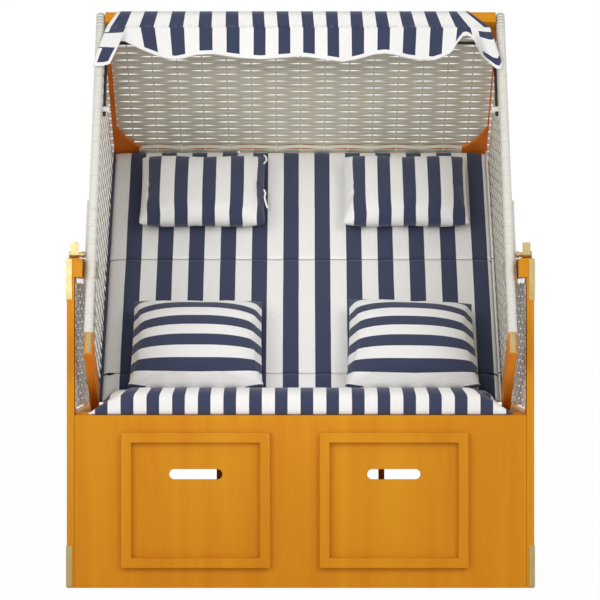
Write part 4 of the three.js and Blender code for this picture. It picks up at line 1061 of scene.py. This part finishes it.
for sign in (-1, 1):
    sides = loft(PIPING["along"], PIPING["around"])
    faces = faces + [tuple(i + len(points) for i in f) for f in sides]
    points = np.concatenate([points, piping(sign)])
placed = put(back_place, points)
back_pad = make_piece("back_pad", placed, faces, back_stripes, "hood", ["back_cushion"])
lay_map(back_pad.data, "cloth", points[:, [0, 2]])
back_pad.data.shade_smooth()
print("back cushion", len(points), "points")

# %% [markdown]
# The seat cushion has a thick roll along its front edge. The cover tapers at both ends of the roll, down
# to a corner that rests on the base's front edge.

# %% Seat cushion
SEAT_FRONT, SEAT_TOP, SEAT_FOOT = -0.0135, 0.490, 0.4403
ROLL_TOP, ROLL_HALF, SEAT_HALF, ROLL_DEPTH, ROLL_TAPER = 0.503, 0.534, 0.502, 0.096, 0.085
SEAT_REAR, ROLL_LIP = 0.470, 0.437
seat_profile = [
    (SEAT_FRONT + 0.005, ROLL_LIP), (SEAT_FRONT + 0.001, ROLL_LIP + 0.010),
    (SEAT_FRONT, ROLL_LIP + 0.026), (SEAT_FRONT + 0.0015, ROLL_LIP + 0.036),
    (SEAT_FRONT + 0.0045, ROLL_TOP - 0.0235), (SEAT_FRONT + 0.010, ROLL_TOP - 0.0155),
    (SEAT_FRONT + 0.022, ROLL_TOP - 0.0085), (SEAT_FRONT + 0.038, ROLL_TOP - 0.0025),
    (SEAT_FRONT + 0.056, ROLL_TOP), (SEAT_FRONT + 0.074, ROLL_TOP - 0.0015),
    (SEAT_FRONT + 0.087, ROLL_TOP - 0.007), (SEAT_FRONT + 0.096, SEAT_TOP - 0.005),
    (SEAT_FRONT + 0.104, SEAT_TOP - 0.002), (SEAT_FRONT + 0.134, SEAT_TOP), (0.2, SEAT_TOP),
    (0.3, SEAT_TOP), (SEAT_REAR - 0.030, SEAT_TOP - 0.001), (SEAT_REAR - 0.012, SEAT_TOP - 0.007),
    (SEAT_REAR - 0.002, SEAT_TOP - 0.018), (SEAT_REAR - 0.002, SEAT_FOOT + 0.014),
    (SEAT_REAR - 0.012, SEAT_FOOT + 0.004), (SEAT_REAR - 0.030, SEAT_FOOT), (0.2, SEAT_FOOT),
    (0.012, SEAT_FOOT),
]


# How far the cover is still filled at its ends, and how fast it fills up from there
THIN_END, END_CURVE, FRONT_CURVE = 0.04, 0.62, 0.1
PAD_END, PAD_TAPER, PAD_CURVE = 0.3, 0.02, 0.5
SEAT_SKIN = 0.001


def seat_ring(across):
    ring = []
    for y, z in seat_profile:
        behind = min(1.0, max(0.0, (y - SEAT_FRONT) / ROLL_DEPTH))
        half = ROLL_HALF + (SEAT_HALF - ROLL_HALF) * behind
        left = (1 - abs(across)) * half
        swell = min(1.0, max(THIN_END, left / ROLL_TAPER)) ** (END_CURVE + FRONT_CURVE * (1 - behind))
        if behind >= 1:
            swell = max(swell, min(1.0, max(PAD_END, left / PAD_TAPER)) ** PAD_CURVE)
        height = ROLL_LIP + (z - ROLL_LIP) * swell if z > SEAT_FOOT + SEAT_SKIN else z
        ring.append((across * half, y, height))
    return ring


SEAT_STATIONS, NEAR_ENDS = 81, (0.985, 0.993, 0.9965)
near = [side * end for side in (-1, 1) for end in NEAR_ENDS]
stations = sorted({round(s, 4) for s in (*np.linspace(-1, 1, SEAT_STATIONS), *near)})
points = [p for s in stations for p in seat_ring(s)]
faces = loft(len(stations), len(seat_profile))
seat_pad = make_piece("seat_pad", points, faces, seat_stripes, "base", ["seat_cushion"])
# Over the top of the roll the cover is pulled inwards, so the outer stripes lean there.
PULL, PULL_FROM, PULL_OVER, PULL_REACH = 0.021, 0.4850, 0.016, 0.49
spread = np.array(points)
rise = np.clip((spread[:, 2] - PULL_FROM) / PULL_OVER, 0, 1)
cloth_x = spread[:, 0] + PULL * rise * (spread[:, 0] / PULL_REACH) ** 3
lay_map(seat_pad.data, "cloth", np.stack([cloth_x, spread[:, 1]], 1))
turn_outwards(seat_pad.data)
seat_pad.data.shade_smooth()
print("seat cushion", len(points), "points")

# %% [markdown]
# The awning is one striped cloth with a sewn-on valance. It lies over the hood's front rail, turns at a
# seam and hangs in shallow waves to a white hem. Beside each tube it arches up, and its corner hangs on
# the tube as a flap. The outline of the hem is drawn point by point.

# %% Awning
# Across and up, in millimetres
HEM = [
    (-546, 1338), (-520, 1338.5), (-499, 1345), (-498, 1372), (-496, 1393), (-490, 1404),
    (-478, 1410.5), (-464, 1408.5), (-446, 1399), (-414, 1384), (-382, 1372), (-358, 1364),
    (-329, 1360), (-305, 1364), (-276, 1372), (-231, 1375), (-160, 1364.5), (-106, 1360), (-54, 1364.5),
    (0, 1369.5), (52, 1362), (112, 1354), (152, 1362), (192, 1373), (222, 1376), (242, 1374),
    (284, 1363.5), (321, 1360), (350, 1358), (371, 1364.5), (398, 1378.5), (414, 1404.5), (430, 1423),
    (443, 1424), (456, 1417), (467, 1396), (475, 1372), (491, 1351), (511, 1333), (524, 1328),
    (530, 1341),
]
# Where chosen stripes lie: stripe, then its place on top, at the fold, under the seam and at the hem
STRIPE_PLACES = [
    (-7.15, -0.4845, -0.5140, -0.5140, -0.5460),
    (-6.52, -0.4480, -0.4640, -0.4620, -0.5120),
    (-6.00, -0.4126, -0.4271, -0.4229, -0.4097),
    (-4.00, -0.2674, -0.2701, -0.2677, -0.2667),
    (-2.00, -0.1290, -0.1258, -0.1237, -0.1242),
    (0.00, 0.0013, 0.0053, 0.0069, 0.0069),
    (2.00, 0.1314, 0.1335, 0.1348, 0.1358),
    (4.00, 0.2615, 0.2704, 0.2725, 0.2693),
    (6.00, 0.3924, 0.4105, 0.4142, 0.4083),
    (7.20, 0.4447, 0.5008, 0.5008, 0.5300),
]
# The stripes beside the left flap's steep edge, where the cloth is cut finer
FLAP_EDGE, FLAP_COLUMNS = (-6.49, -6.38), 24
# Where a flap is folded, other stripes show on it: from and to (share of the drop), and the stripe there
FLAP_FOLDS = {
    -1: [(0.15, 0.52, -6.3)],
    1: [(-0.1, 0.11, 6.7), (0.11, 0.3, 7.1), (0.3, 0.72, 6.7), (0.72, 1.1, 7.1)],
}
FLAP_STRIPE = {-1: 6.52, 1: 6.72}
CLOTH_COLUMNS, CLOTH_DROP_ROWS = 260, 24
CLOTH_THICK = 0.0012
RAIL_FRONT, RAIL_TOP, RAIL_FOLD = -0.0215, 0.7465, 0.694
CLOTH_LAP, OFF_THE_HEM = 0.020, 0.2
FLAP_FROM, FLAP_OVER, FLAP_CURL = 0.462, 0.040, 0.008
WAVE, WAVE_LENGTH, WAVE_START = 0.010, 0.168, 0.9
SEAM_STEP, DROP_FORWARD = 0.0015, 0.004


def in_hood(x, y, z):
    return np.array(hood_place @ Vector((x, y, z)))


hem_x, hem_z = np.array(HEM).T / 1000
marks, *places = np.array(STRIPE_PLACES).T
stripes_across = np.linspace(marks[0], marks[-1], CLOTH_COLUMNS + 1)
stripes_across = np.unique(np.concatenate([stripes_across, np.linspace(*FLAP_EDGE, FLAP_COLUMNS)]).round(4))
top_x, fold_x, seam_x, low_x = (np.interp(stripes_across, marks, place) for place in places)
points, uvs = [], []
row_kinds = [("lap", 0.0), ("lap", 0.5), ("lap", 1.0), ("front", 0.35), ("front", 0.7), ("front", 1.0)]
row_kinds += [("drop", k / CLOTH_DROP_ROWS) for k in range(CLOTH_DROP_ROWS + 1)]
fold_at = in_hood(0, RAIL_FRONT, RAIL_FOLD)
LEAN_PER_DROP = math.tan(RECLINE)
for kind, share in row_kinds:
    for i, stripe_here in enumerate(stripes_across):
        top, fold, seam, low = top_x[i], fold_x[i], seam_x[i], low_x[i]
        if kind == "lap":
            points.append(in_hood(top, RAIL_FRONT + CLOTH_LAP * (1 - share), RAIL_TOP))
            uvs.append((stripe_here, OFF_THE_HEM))
        elif kind == "front":
            height = RAIL_TOP + (RAIL_FOLD - RAIL_TOP) * share
            points.append(in_hood(top + (fold - top) * share, RAIL_FRONT, height))
            uvs.append((stripe_here, OFF_THE_HEM))
        else:
            hem_here = np.interp(low, hem_x, hem_z)
            flap = np.clip((abs(low) - FLAP_FROM) / FLAP_OVER, 0, 1)
            flap = flap * flap * (3 - 2 * flap)
            drop = (fold_at[2] - hem_here) * share
            wave = WAVE * share * math.cos(2 * math.pi * low / WAVE_LENGTH + WAVE_START) * (1 - flap)
            forward = SEAM_STEP * min(1, 4 * share)
            y = fold_at[1] - forward - LEAN_PER_DROP * drop * flap + wave - DROP_FORWARD * share
            curl = FLAP_CURL * flap * math.sin(math.pi * share)
            points.append((seam + (low - seam) * share, y - curl, fold_at[2] - drop))
            shown = stripe_here
            side = -1 if stripe_here < 0 else 1
            for begin, end, other in FLAP_FOLDS[side]:
                if abs(stripe_here) > FLAP_STRIPE[side] and begin < share < end:
                    shown = other
            uvs.append((shown, fold_at[2] - hem_here - drop))
faces = loft(len(row_kinds), len(stripes_across), closed=False, capped=False)
awning = make_piece("awning_sheet", points, faces, awning_stripes, None, ["awning_cloth"])
lay_map(awning.data, "cloth", uvs)
awning.data.shade_smooth()
thick = awning.modifiers.new("thickness", "SOLIDIFY")
thick.thickness = CLOTH_THICK
thick.offset = 1
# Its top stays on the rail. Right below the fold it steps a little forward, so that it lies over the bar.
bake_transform(awning)
